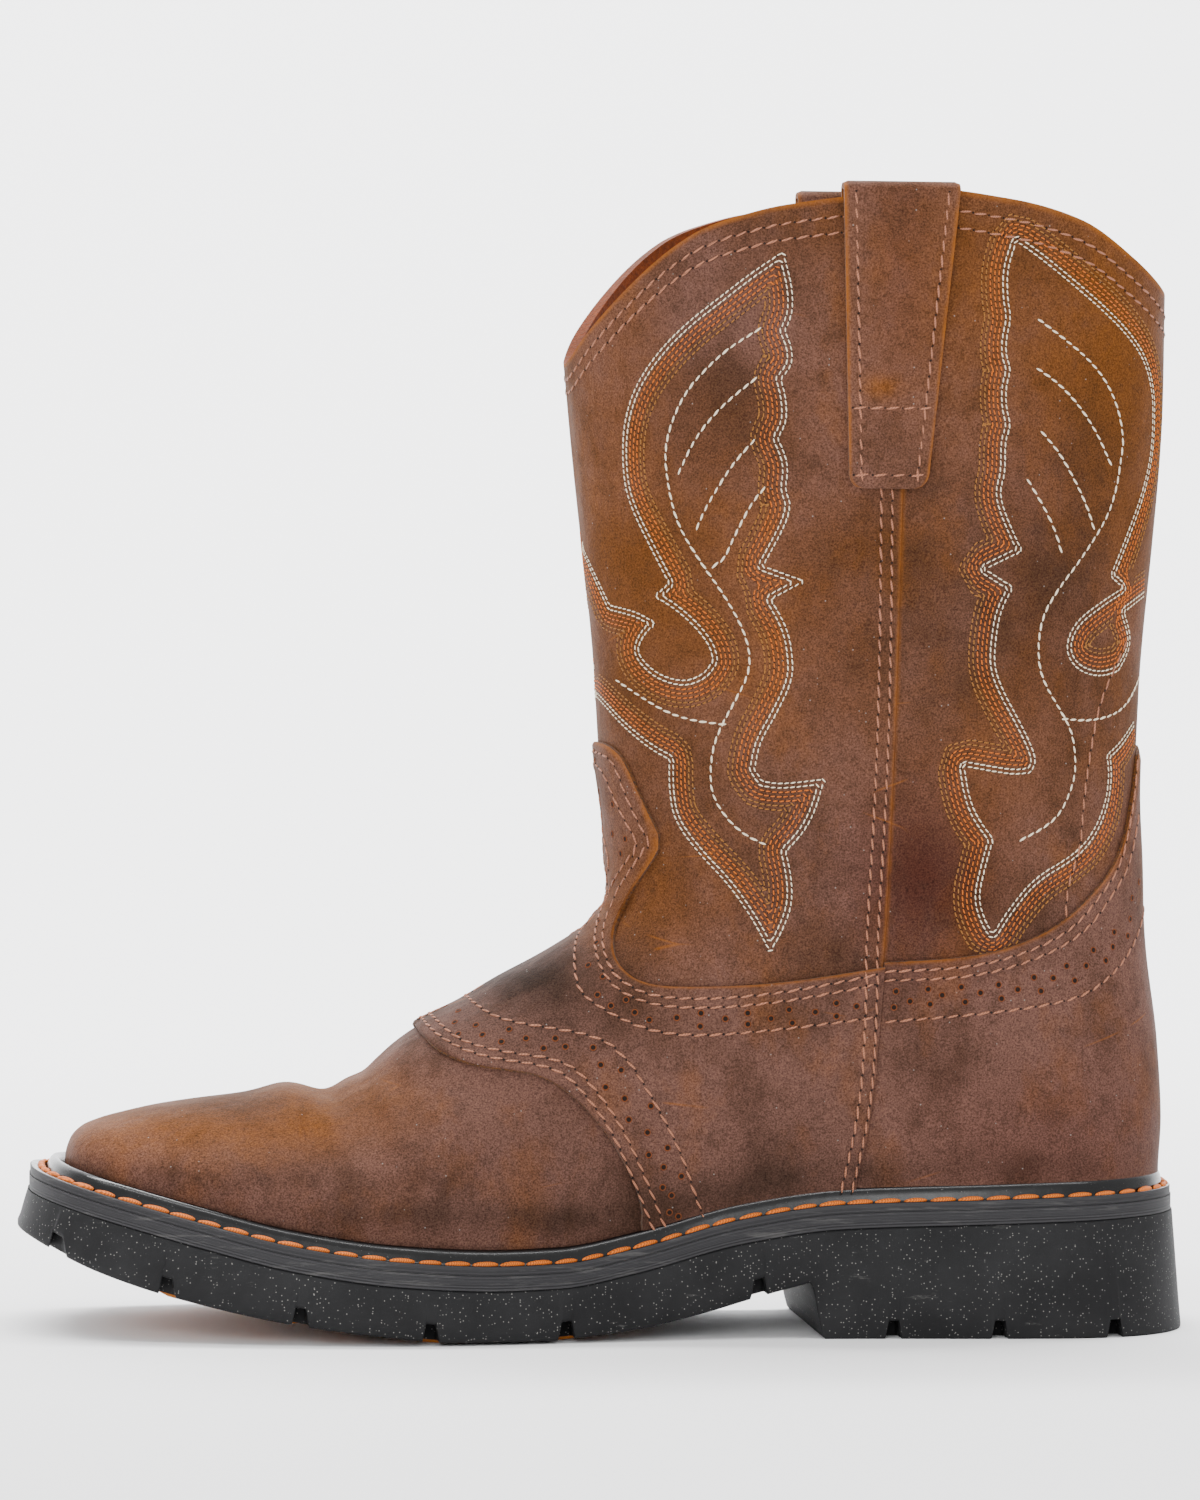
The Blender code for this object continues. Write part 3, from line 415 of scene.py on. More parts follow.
# Creases where the leather bends: photograph pixel, half width and half length in millimetres, slant,
# depth in millimetres, negative for a ridge
CREASES = [
    # u, v, width, length, slant, depth
    (326, 1090, 4.0, 15, 1.25, 1.5),
    (308, 1124, 1.3, 5, 1.45, 0.9),
    (300, 1112, 3.5, 10, 1.15, -0.5),
    (318, 1140, 3.0, 12, 1.35, 0.6),
    (288, 1088, 6.0, 14, 1.3, -0.7),
    (337, 1125, 2.6, 13, 1.42, -0.5),
    (348, 1150, 3.2, 14, 1.5, 0.7),
    (372, 1105, 3.0, 13, 1.25, 0.7),
    (356, 1085, 4.0, 10, 1.2, -0.6),
    (392, 1120, 3.4, 15, 1.4, -0.5),
    (405, 1100, 2.6, 16, 1.35, 0.7),
    (436, 1100, 2.2, 13, 1.5, 0.7),
    (452, 1125, 4.0, 16, 1.4, -0.5),
    (540, 930, 5.0, 16, 0.75, 0.9),
    (575, 900, 6.0, 15, 0.6, 1.2),
    (1095, 900, 8.0, 22, 0.15, 0.8),
    (1060, 880, 7.0, 20, 0.3, 0.6),
]

# Patches of colour on the leather, some of them painted highlight and painted shade: photograph pixel,
# radius across and up in millimetres, strength
TAN_AND_HIGHLIGHT_SPOTS = [
    # u, v, across, up, strength
    # Pull-up gold; the patches along the shaft's front and back edges, (600, 400), (1110, 330) and (1130,
    # 560), are partly painted highlight
    (190, 1116, 38, 8, 0.8),
    (120, 1135, 24, 7, 0.3),
    (310, 1105, 9, 9, 0.8),
    (375, 1090, 10, 8, 0.45),
    (600, 400, 14, 60, 0.35),
    (690, 620, 34, 45, 0.45),
    (950, 300, 26, 40, 0.55),
    (1110, 330, 20, 36, 0.8),
    (1130, 560, 14, 50, 0.45),
    (880, 388, 5, 3, 0.7),
    (985, 760, 26, 26, 0.35),
    (640, 905, 16, 20, 0.5),
]
DARK_AND_SHADE_SPOTS = [
    # u, v, across, up, strength
    # Painted shade: the toe top (200, 1100), the instep (520, 985) and the patches from (250, 1178) to
    # (1000, 1168) along the foot of the upper over the welt; the patches up the shaft are darker clouds of
    # the leather
    (200, 1100, 46, 5, 0.55),
    (960, 640, 18, 30, 0.3),
    (520, 985, 30, 14, 1.0),
    (1090, 520, 14, 50, 0.4),
    (700, 440, 14, 30, 0.2),
    (540, 1170, 30, 14, 0.35),
    (250, 1178, 26, 4, 0.45),
    (400, 1215, 30, 4, 0.5),
    (560, 1222, 26, 5, 0.6),
    (720, 1195, 24, 7, 0.7),
    (820, 1180, 22, 6, 0.6),
    (1000, 1168, 40, 5, 0.45),
    (790, 1135, 16, 12, 0.35),
    (910, 330, 8, 30, 0.15),
]
RED_SPOTS = [
    # u, v, across, up, strength
    (920, 880, 16, 22, 0.8),
    (1060, 1140, 36, 22, 0.3),
    (900, 270, 8, 30, 0.2),
]

# Where the shaft's front panel begins, as a column of the photograph
SIDE_SEAM_U = 880
LIGHTS = [
    # name, place, target, width, height, watts
    ("front softbox", (0.5, 2.6, 0.9), (0, 0, 0.12), 1.8, 1.2, 44),
    ("strip softbox", (0.1, 0.5, 1.7), (0, 0.04, 0.04), 2.4, 0.10, 18),
    ("backdrop lamp", (0, -0.7, 2.4), (0, -2.2, 0.5), 3.0, 0.6, 220),
]


def linear(code):
    """Linear colour of an sRGB hex value."""
    parts = [int(code[i:i + 2], 16) / 255 for i in (0, 2, 4)]
    return tuple(c / 12.92 if c <= 0.04045 else ((c + 0.055) / 1.055) ** 2.4 for c in parts)


def smooth(table, column):
    """Monotone cubic curve through one column of a table, against its first column."""
    xs = np.array([row[0] for row in table], float)
    ys = np.array([row[column] for row in table], float)
    steps = np.diff(xs)
    slopes = np.diff(ys) / steps
    tangents = np.zeros_like(ys)
    tangents[0] = slopes[0]
    tangents[-1] = slopes[-1]
    for i in range(1, len(xs) - 1):
        if slopes[i - 1] * slopes[i] > 0:
            before = 2 * steps[i] + steps[i - 1]
            after = steps[i] + 2 * steps[i - 1]
            tangents[i] = (before + after) / (before / slopes[i - 1] + after / slopes[i])

    marks = np.linspace(xs[0], xs[-1], 4001)
    i = np.clip(np.searchsorted(xs, marks, side="right") - 1, 0, len(xs) - 2)
    h = steps[i]
    t = (marks - xs[i]) / h
    curve = (
        (2 * t**3 - 3 * t**2 + 1) * ys[i]
        + (t**3 - 2 * t**2 + t) * h * tangents[i]
        + (3 * t**2 - 2 * t**3) * ys[i + 1]
        + (t**3 - t**2) * h * tangents[i + 1]
    )
    return lambda x: np.interp(x, marks, curve)


def ease(x, low, high):
    """Smooth step from 0 at low to 1 at high."""
    t = np.clip((np.asarray(x, float) - low) / (high - low), 0, 1)
    return t * t * (3 - 2 * t)


class Outline:
    """A closed outline in plan: half widths of both sides against the way from heel to toe."""

    def __init__(self, x, lateral, medial):
        self.x = x
        self.lateral = lateral
        self.medial = medial
        self.heel = x[0][0]
        self.toe = x[0][-1]

    def at(self, way):
        return self.heel + (self.toe - self.heel) * np.asarray(way, float)

    def half(self, x, side):
        return np.interp(x, self.x[side], (self.lateral, self.medial)[side])

    def inset(self, distance):
        """The outline moved inwards by distance, a length or a function of the station."""
        moved_x = []
        moved_y = []
        for side in (0, 1):
            x = self.x[side]
            y = (self.lateral, self.medial)[side]
            station = (x - self.heel) / (self.toe - self.heel)
            step = distance(station) if callable(distance) else distance
            dx = np.gradient(x)
            dy = np.gradient(y)
            size = np.hypot(dx, dy)
            new_x = x + step * dy / size
            new_y = y - step * dx / size
            new_x[0] = x[0] + np.ravel(step)[0]
            new_x[-1] = x[-1] - np.ravel(step)[-1]
            new_y[0] = 0.0
            new_y[-1] = 0.0
            moved_x.append(np.maximum.accumulate(new_x))
            moved_y.append(np.maximum(new_y, 0.0))
        return Outline(moved_x, moved_y[0], moved_y[1])


def sole_outline():
    """Plan of the sole where it meets the floor, rounded at the heel and the toe."""
    way = (1 - np.cos(np.linspace(0, math.pi, 500))) / 2
    x = (way - 0.5) * LENGTH
    behind = np.clip(1 - way * LENGTH / HEEL_CAP, 0, 1)
    before = np.clip(1 - (1 - way) * LENGTH / TOE_CAP, 0, 1)
    round_heel = (1 - behind**2.3) ** (1 / 2.3)
    round_toe = (1 - before**2.5) ** (1 / 2.5)
    sides = [smooth(SOLE_PLAN, column)(way) * BALL_WIDTH / 2 * round_heel * round_toe for column in (1, 2)]
    return Outline([x, x.copy()], sides[0], sides[1])


def flare(station):
    """How far the floor outline stands outside the welt, most at the ends."""
    ends = np.abs(np.asarray(station, float) - 0.5) * 2
    return SOLE_FLARE * (0.45 + 0.55 * ease(ends, 0.55, 1.0))


def reach(station):
    """Width of the welt outside the upper."""
    table = [(0, REACH_HEEL), (0.35, REACH_HEEL * 1.3), (0.6, REACH_SIDE), (1, REACH_TOE)]
    return smooth(table, 1)(station)


FLOOR_OUTLINE = sole_outline()
WELT_OUTLINE = FLOOR_OUTLINE.inset(flare)
FOOT_OUTLINE = WELT_OUTLINE.inset(reach)
WELT_HEEL = smooth(WELT_LINE, 1)
WELT_TOE = smooth(WELT_LINE, 2)
TREAD_ARCH = smooth(TREAD_LINE, 1)
TREAD_TOE = smooth(TREAD_LINE, 2)
FRONT_SETBACK = smooth(FRONT_LINE, 1)
FRONT_RISE = smooth(FRONT_LINE, 2)
BACK_SETBACK = smooth(BACK_LINE, 1)
BACK_RISE = smooth(BACK_LINE, 2)
CROWN = smooth(COLLAR_LINE, 1)
SHAFT_SHARE = smooth(SHAFT_LINE, 1)
SECTION_POWER = smooth(FOOT_SECTION, 1)
SECTION_SWELL = smooth(FOOT_SECTION, 2)
SEAM_STATION = smooth(SIDE_SEAM, 1)


def welt_top(x):
    """Height of the welt's strip at x."""
    station = np.asarray(x, float) / LENGTH + 0.5
    return FORE_SOLE + WELT_HEEL(station) * (HEEL_SEAT - FORE_SOLE) + WELT_TOE(station) * TOE_RISE


def rim(way):
    """Height of the outsole's lower edge in front of the heel."""
    rise = TREAD_ARCH(way) * ARCH_RISE + TREAD_TOE(way) * TOE_SPRING
    return rise + INSERT_STAND * ease(way, 0.40, 0.50) * (1 - ease(way, 0.85, 0.95))


def front_point(place):
    """Side view of the front line: toe, vamp, instep and shaft."""
    x = FOOT_OUTLINE.toe - FRONT_SETBACK(place) * LENGTH
    return x, welt_top(x) + FRONT_RISE(place) * UPPER_HEIGHT


def back_point(place):
    """Side view of the back line: heel and shaft."""
    x = FOOT_OUTLINE.heel + BACK_SETBACK(place) * LENGTH
    return x, welt_top(x) + BACK_RISE(place) * UPPER_HEIGHT


RIDGE_X, RIDGE_Z = front_point(np.linspace(0, INSTEP_PLACE, 300))


def ridge(x):
    """Height of the vamp over x, which its cross sections reach."""
    vamp = np.interp(x, RIDGE_X[::-1], RIDGE_Z[::-1])
    return np.where(x < RIDGE_X[-1], RIDGE_Z[-1] + LEG_SLOPE * (RIDGE_X[-1] - x), vamp)


def side_line(place, way):
    """Side view of the upper: x and z at a place up it and a way from its back to its front."""
    back_x, back_z = back_point(place)
    front_x, front_z = front_point(place)
    x = back_x + (front_x - back_x) * way
    sole_x = FOOT_OUTLINE.at(way)
    ends = welt_top(FOOT_OUTLINE.heel) * (1 - way) + welt_top(FOOT_OUTLINE.toe) * way
    z = back_z + (front_z - back_z) * way
    z = z + (welt_top(sole_x) - ends) * (1 - ease(place, 0.0, SOLE_LINE_END))
    z = z + CROWN(way) * COLLAR_CROWN * ease(place, COLLAR_LINE_START, 1.0) ** 1.3
    return x, z


def half_width(place, way, x, z, side):
    """Half width of one side: a foot section low down, an oval in the shaft."""
    back_x = back_point(place)[0]
    foot_x = x - (back_x - FOOT_OUTLINE.heel) * (1 - way) ** 2
    station = foot_x / LENGTH + 0.5
    base = welt_top(x) + BEAD
    rise = np.clip((z - base) / np.maximum(ridge(x) - base, 0.2 * MM), 0, 1)
    power = SECTION_POWER(station)
    arch = (1 - rise**power) ** (1 / power)
    swell = 1 + SECTION_SWELL(station) * np.sin(math.pi * np.minimum(rise * 1.4, 1)) ** 1.2
    foot = FOOT_OUTLINE.half(foot_x, side) * arch * swell
    span = ANKLE_WIDTH + SHAFT_SHARE(place) * (SHAFT_WIDTH - ANKLE_WIDTH)
    oval = (1 - np.abs(2 * way - 1) ** SHAFT_POWER) ** (1 / SHAFT_POWER)
    blend = ease(place, BLEND_PLACE, INSTEP_PLACE)
    return foot * (1 - blend) + span / 2 * oval * blend


def medial_rise(way):
    """Extra height of the collar's medial side, which shows behind the near side."""
    return MEDIAL_RISE * np.sin(math.pi * np.clip(way, 0, 1)) ** 0.7


def form(place, angle):
    """Outer form of the upper. The angle is 0 at the back, pi at the front, lateral side first."""
    place = np.clip(place, 0, 1)
    angle = np.asarray(angle, float)
    way = (1 - np.cos(angle)) / 2
    x, z = side_line(place, way)
    lateral = half_width(place, way, x, z, 0)
    medial = half_width(place, way, x, z, 1)
    y = np.where(np.sin(angle) >= 0, lateral, -medial)
    y = np.where(np.abs(np.sin(angle)) < 1e-9, 0.0, y)
    z = z + np.where(np.sin(angle) < 0, medial_rise(way) * ease(place, 0.7, 1.0), 0.0)
    return np.stack(np.broadcast_arrays(x, y, z), axis=-1)


def normal_at(place, angle):
    """Outward direction of the form."""
    small = 0.004
    along = form(place + small, angle) - form(place - small, angle)
    around = form(place, angle + small * 4) - form(place, angle - small * 4)
    normal = np.cross(along, around)
    size = np.linalg.norm(normal, axis=-1, keepdims=True)
    return normal / np.maximum(size, 1e-12)


def locate(x, z):
    """Places and angles of the lateral side's points that the side view shows at x and z."""
    x = np.atleast_1d(np.asarray(x, float))
    z = np.atleast_1d(np.asarray(z, float))
    low = np.zeros_like(x)
    high = np.ones_like(x)
    for _ in range(36):
        place = (low + high) / 2
        back_x = back_point(place)[0]
        front_x = front_point(place)[0]
        way = np.clip((x - back_x) / (front_x - back_x), 0.0, 1.0)
        under = side_line(place, way)[1] < z
        low = np.where(under, place, low)
        high = np.where(under, high, place)
    return place, np.arccos(1 - 2 * way)


def seam_angle(place):
    """Angle of the side seam at a place."""
    x = (SEAM_STATION(place) - 0.5) * LENGTH
    back_x = back_point(place)[0]
    front_x = front_point(place)[0]
    return np.arccos(1 - 2 * np.clip((x - back_x) / (front_x - back_x), 0.02, 0.98))


def folded(angle):
    """The lateral angle that matches an angle of either side."""
    return np.where(angle > math.pi, 2 * math.pi - angle, angle)


def photo_ray():
    """Camera's right, up and viewing directions, rolled as the photograph is."""
    view = Vector((
        -math.sin(CAMERA_TURN) * math.cos(CAMERA_DIP),
        -math.cos(CAMERA_TURN) * math.cos(CAMERA_DIP),
        -math.sin(CAMERA_DIP),
    ))
    right = Vector((-math.cos(CAMERA_TURN), math.sin(CAMERA_TURN), 0.0))
    up = Vector((
        -math.sin(CAMERA_TURN) * math.sin(CAMERA_DIP),
        -math.cos(CAMERA_TURN) * math.sin(CAMERA_DIP),
        math.cos(CAMERA_DIP),
    ))
    c = math.cos(CAMERA_ROLL)
    s = math.sin(CAMERA_ROLL)
    return c * right + s * up, c * up - s * right, view


def on_leather(pixels):
    """Places and angles of the upper's lateral side under pixels of the photograph."""
    right, up, view = (np.array(v) for v in photo_ray())
    eye = np.array(CAMERA_PLACE)
    pixels = np.asarray(pixels, float)
    rays = view * CAMERA_FOCUS + np.outer(pixels[:, 0] - IMAGE_WIDTH / 2, right)
    rays = rays - np.outer(pixels[:, 1] - IMAGE_HEIGHT / 2, up)
    first_guess = 0.038
    y = np.full(len(pixels), first_guess)
    for _ in range(8):
        reached = eye + rays * ((y - eye[1]) / rays[:, 1])[:, None]
        place, angle = locate(reached[:, 0], reached[:, 2])
        y = 0.5 * y + 0.5 * form(place, angle)[:, 1]
    return place, angle


CREASE_SPOTS = form(*on_leather([row[:2] for row in CREASES]))


def relief(points):
    """Height of the creases and soft folds at points of the form."""
    total = np.zeros(points.shape[:-1])
    for row, spot in zip(CREASES, CREASE_SPOTS):
        width, length, slant, depth = row[2:]
        dx = points[..., 0] - spot[0]
        dz = points[..., 2] - spot[2]
        dy = np.abs(points[..., 1]) - abs(spot[1])
        along = math.cos(slant) * dx + math.sin(slant) * dz
        across = -math.sin(slant) * dx + math.cos(slant) * dz
        bend = across + along**2 * CREASE_BEND
        fade = np.exp(-(along / (length * MM)) ** 2 - (dy / CREASE_REACH) ** 2)
        total -= depth * MM * fade * np.exp(-(bend / (width * MM)) ** 2)
    x, y, z = points[..., 0], points[..., 1], points[..., 2]
    wave = WAVE_HEIGHT * np.sin(x * 55 + z * 31 + 1.0) * np.sin(z * 38 + np.sign(y) * 0.8)
    ripple = RIPPLE_HEIGHT * np.sin(x * 83 - z * 47)
    return total + (wave + ripple) * ease(z, WAVES_FROM, WAVES_FULL)


def lifted(place, angle, lift):
    """A point on the form with its creases, moved outwards by lift."""
    place, angle, lift = np.broadcast_arrays(
        np.asarray(place, float), np.asarray(angle, float), np.asarray(lift, float)
    )
    points = form(place, angle)
    return points + normal_at(place, angle) * (lift + relief(points))[..., None]


def panel_step(place, angle):
    """Extra height of the front shaft panel, in front of the side seam and above the saddle."""
    beyond = (folded(angle) - seam_angle(place)) * LENGTH / 4
    return PANEL_STEP * ease(beyond, 0.0, SEAM_LAP) * ease(place, 0.30, 0.34)


def make_piece(name, points, faces, materials, nodes, attributes=None, face_slots=None,
               outwards=True):
    """A mesh piece made from points and faces, with its materials and its values at each point."""
    mesh = bpy.data.meshes.new(name)
    mesh.from_pydata(np.asarray(points, float).reshape(-1, 3).tolist(), [], faces)
    for material in materials:
        mesh.materials.append(material)
    if face_slots is not None:
        mesh.polygons.foreach_set("material_index", face_slots)
    for label, values in (attributes or {}).items():
        layer = mesh.attributes.new(label, "FLOAT", "POINT")
        layer.data.foreach_set("value", np.asarray(values, np.float32).ravel())
    if outwards:
        body = bmesh.new()
        body.from_mesh(mesh)
        bmesh.ops.remove_doubles(body, verts=body.verts, dist=0.004 * MM)
        bmesh.ops.recalc_face_normals(body, faces=body.faces)
        body.to_mesh(mesh)
        body.free()
    mesh.shade_smooth()
    mesh.set_sharp_from_angle(angle=math.radians(48))
    add_piece(name, mesh, nodes)


def add_object(name, data):
    """A new object in the scene, at the origin."""
    thing = bpy.data.objects.new(name, data)
    bpy.context.scene.collection.objects.link(thing)
    return thing


def add_piece(name, mesh, nodes):
    """A piece that rides on the boot's body and stands for CAD nodes."""
    piece = add_object(name, mesh)
    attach(piece, "root")
    if nodes:
        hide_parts(*nodes)


def grid_faces(rows, columns, closed, first=0, flip=False):
    """Faces of a grid of points, joined round its columns if it is closed."""
    faces = []
    last = columns if closed else columns - 1
    for i in range(rows - 1):
        for j in range(last):
            k = (j + 1) % columns
            a = first + i * columns + j
            b = first + i * columns + k
            c = first + (i + 1) * columns + k
            d = first + (i + 1) * columns + j
            faces.append((d, c, b, a) if flip else (a, b, c, d))
    return faces


def rim_faces(outer, inner):
    """Faces between two closed loops of point numbers of equal length."""
    count = len(outer)
    return [(outer[(j + 1) % count], outer[j], inner[j], inner[(j + 1) % count]) for j in range(count)]


def slab(rows, columns):
    """Faces of two grids, one over the other, with the rim round them, and the faces' material numbers."""
    half = rows * columns
    faces = grid_faces(rows, columns, False) + grid_faces(rows, columns, False, half, True)
    loop = list(range(columns)) + [i * columns + columns - 1 for i in range(1, rows)]
    loop += [half - 1 - j for j in range(1, columns)] + [i * columns for i in range(rows - 2, 0, -1)]
    faces += rim_faces(loop, [half + k for k in loop])
    slots = [0] * (2 * (rows - 1) * (columns - 1)) + [1] * len(loop)
    return faces, slots


def worn_edge(inward, drop):
    """How far a cut edge is rounded down, where inward is 0 at the edge and 1 where the round ends."""
    return drop * (1 - np.sqrt(1 - (1 - np.clip(inward, 0, 1)) ** 2))


def spots(points, table):
    """Sum of soft round patches, the same on both sides of the boot."""
    place, angle = on_leather([row[:2] for row in table])
    middles = form(place, angle)
    total = np.zeros(points.shape[:-1])
    for row, middle in zip(table, middles):
        across, up, strength = row[2:]
        dx = (points[..., 0] - middle[0]) / (across * MM)
        dz = (points[..., 2] - middle[2]) / (up * MM)
        total += strength * np.exp(-dx**2 - dz**2)
    return np.clip(total, 0, 1)


def leather_attributes(points, edge):
    """Values that place the colours of the leather, with its painted highlight and painted shade."""
    return {
        "tan": spots(points, TAN_AND_HIGHLIGHT_SPOTS),
        "dark": spots(points, DARK_AND_SHADE_SPOTS),
        "red": spots(points, RED_SPOTS),
        "edge": edge,
    }


class Nodes:
    """Adds nodes to a tree, with their settings and links."""

    def __init__(self, tree):
        self.tree = tree

    def add(self, kind, settings=None, **inputs):
        node = self.tree.nodes.new(kind)
        for key, value in (settings or {}).items():
            setattr(node, key, value)
        for key, value in inputs.items():
            name = key.replace("_", " ")
            socket = node.inputs[int(key[1:])] if key[0] == "i" and key[1:].isdigit() else node.inputs[name]
            if isinstance(value, bpy.types.NodeSocket):
                self.tree.links.new(value, socket)
            elif socket.type == "RGBA":
                socket.default_value = (*value, 1.0)
            else:
                socket.default_value = value
        return node

    def where(self):
        """Place on the object, in metres."""
        return self.add("ShaderNodeTexCoord").outputs["Object"]


def new_material(name):
    """An empty node material, and what adds nodes to it."""
    material = bpy.data.materials.new(name)
    material.use_nodes = True
    material.node_tree.nodes.clear()
    return material, Nodes(material.node_tree)


def finish_material(nodes, colour, roughness, normal=None, specular=0.5, sheen=0.0):
    """Ends a material with its shader."""
    shader = nodes.add(
        "ShaderNodeBsdfPrincipled", Base_Color=colour, Roughness=roughness, Specular_IOR_Level=specular,
        Sheen_Weight=sheen,
    )
    if normal is not None:
        nodes.tree.links.new(normal, shader.inputs["Normal"])
    output = nodes.add("ShaderNodeOutputMaterial")
    nodes.tree.links.new(shader.outputs[0], output.inputs[0])


def noise(nodes, coordinates, scale, detail=3.0, roughness=0.55):
    """Cloudy noise of about 0.5. Its scale is in cells per metre."""
    node = nodes.add(
        "ShaderNodeTexNoise", Vector=coordinates, Scale=scale, Detail=detail, Roughness=roughness
    )
    return node.outputs["Fac"]


def stretch(nodes, coordinates, scale, turn=(0, 0, 0)):
    """Coordinates in cells per metre of each direction, so that a pattern can run one way."""
    node = nodes.add("ShaderNodeMapping", Vector=coordinates, Scale=scale, Rotation=turn)
    return node.outputs[0]


def remap(nodes, value, low, high, to_low=0.0, to_high=1.0):
    """A value moved from one range to another, and held at its ends."""
    node = nodes.add(
        "ShaderNodeMapRange", Value=value, From_Min=low, From_Max=high, To_Min=to_low, To_Max=to_high
    )
    return node.outputs[0]


def times(nodes, first, second):
    """Product of two values."""
    return nodes.add("ShaderNodeMath", {"operation": "MULTIPLY"}, i0=first, i1=second).outputs[0]


def blend(nodes, factor, first, second, mode="MIX"):
    """Two colours mixed by a factor."""
    settings = {"data_type": "RGBA", "blend_type": mode}
    return nodes.add("ShaderNodeMix", settings, i0=factor, i6=first, i7=second).outputs[2]


def bump(nodes, strength, depth, height, before=None):
    """Normal of a rough surface, its depth in millimetres, over an earlier bump if there is one."""
    under = {} if before is None else {"Normal": before}
    node = nodes.add("ShaderNodeBump", Strength=strength, Distance=depth * MM, Height=height, **under)
    return node.outputs[0]


def attribute(nodes, name):
    """A value that the mesh holds at each point."""
    return nodes.add("ShaderNodeAttribute", {"attribute_name": name}).outputs["Fac"]


def dots(nodes, where, scale, small, large, few, many):
    """Round dots on some cells of a pattern, cut off by distance from the middle and by chance."""
    cells = nodes.add("ShaderNodeTexVoronoi", Vector=where, Scale=scale)
    dot = remap(nodes, cells.outputs["Distance"], small, large, 1.0, 0.0)
    chance = nodes.add("ShaderNodeSeparateColor", Color=cells.outputs["Color"]).outputs[0]
    return times(nodes, dot, remap(nodes, chance, few, many))


def scratches(nodes, where):
    """Long thin lines, mostly lying along the boot, on some parts of the surface."""
    lines = nodes.add(
        "ShaderNodeTexVoronoi", {"feature": "DISTANCE_TO_EDGE"},
        Vector=stretch(nodes, where, (15.0, 15.0, 46.0), (0.3, 0.5, 0.2)), Scale=1.0,
    ).outputs["Distance"]
    chance = noise(nodes, where, 32.0, 2.0, 0.5)
    return times(
        nodes, remap(nodes, lines, 0.003, 0.010, 1.0, 0.0), remap(nodes, chance, 0.62, 0.67)
    )


def oiled_leather(name, sizes, colours, purple=0.0):
    """Oiled pull-up cowhide, buffed: matt and smoky, golden where it is bent or rubbed, purple brown in
    broad patches, with a fine nap, light scratches and pale specks of dust. The purple brown, more of it low
    down, is partly painted sheen, the gold along the shaft's edges partly painted highlight, and some dark
    patches painted shade."""
    material, nodes = new_material(name)
    where = nodes.where()
    broad = noise(nodes, where, 13.0, 6.0, 0.62)
    cloud = noise(nodes, stretch(nodes, where, (46.0, 46.0, 34.0)), 1.0, 6.0, 0.66)
    other = noise(nodes, stretch(nodes, where, (38.0, 38.0, 26.0), (0.4, 0.2, 1.0)), 1.0, 6.0, 0.66)
    mottle = noise(nodes, where, 170.0, 5.0, 0.68)
    nap = noise(nodes, where, 1.0 / sizes.grain, 3.0, 0.7)
    height = nodes.add("ShaderNodeSeparateXYZ", Vector=where).outputs[2]
    # Purple brown in broad patches, more of it below 0.17 m and with the purple argument: the leather's tone
    # and painted sheen
    low = remap(nodes, height, 0.10, 0.17, 0.45, 0.0)
    broad = remap(nodes, broad, 0.38, 0.62, purple, 1.0)
    share = nodes.add("ShaderNodeMath", {"operation": "ADD"}, i0=broad, i1=low).outputs[0]
    share = remap(nodes, share, 0.0, 1.0)
    colour = blend(nodes, share, colours.leather, colours.leather_purple_and_sheen)
    colour = blend(nodes, remap(nodes, cloud, 0.47, 0.66, 0.0, 0.6), colour, colours.leather_dark)
    colour = blend(nodes, remap(nodes, other, 0.52, 0.72, 0.0, 0.45), colour, colours.leather_tan_and_highlight)
    # Tan patches: pull-up gold, partly painted highlight along the shaft's front and back edges
    tan = times(nodes, attribute(nodes, "tan"), remap(nodes, mottle, 0.3, 0.7, 0.5, 1.1))
    colour = blend(nodes, tan, colour, colours.leather_tan_and_highlight)
    # Dark patches: painted shade on the toe top, the instep and along the welt, and darker clouds of the
    # leather up the shaft
    dark = times(nodes, attribute(nodes, "dark"), remap(nodes, cloud, 0.3, 0.6, 0.5, 1.0))
    colour = blend(nodes, dark, colour, colours.leather_smoke_and_shade)
    colour = blend(nodes, attribute(nodes, "red"), colour, colours.leather_red)
    colour = blend(nodes, remap(nodes, mottle, 0.52, 0.72, 0.0, 0.45), colour, colours.leather_smoke_and_shade)
    speck = remap(nodes, nap, 0.34, 0.66, 0.45, 1.55)
    speckle = nodes.add("ShaderNodeCombineColor", Red=speck, Green=speck, Blue=speck).outputs[0]
    colour = blend(nodes, 1.0, colour, speckle, "MULTIPLY")
    scratch = times(nodes, scratches(nodes, where), 0.35)
    colour = blend(nodes, scratch, colour, colours.raw_edge)
    dust = times(nodes, dots(nodes, where, 560.0, 0.07, 0.13, 0.90, 0.92), 0.6)
    colour = blend(nodes, dust, colour, colours.dust)
    edge = times(nodes, attribute(nodes, "edge"), remap(nodes, mottle, 0.35, 0.6, 0.4, 1.0))
    colour = blend(nodes, edge, colour, colours.raw_edge)
    fine = bump(nodes, 0.5, 0.14, nap)
    soft = bump(nodes, 0.55, 0.6, mottle, fine)
    slow = bump(nodes, 0.5, 1.5, cloud, soft)
    finish_material(nodes, colour, remap(nodes, cloud, 0.3, 0.7, 0.56, 0.72), slow, specular=0.04)
    return material


def raw_leather(name, pale, dark):
    """Cut leather edge, unsealed: fuzzy fibre, quite matt."""
    material, nodes = new_material(name)
    where = nodes.where()
    fibre = noise(nodes, where, 1600.0, 4.0, 0.7)
    colour = blend(nodes, remap(nodes, fibre, 0.35, 0.65), pale, dark)
    rough = bump(nodes, 0.9, 0.3, fibre)
    finish_material(nodes, colour, 0.9, rough, specular=0.1, sheen=0.1)
    return material


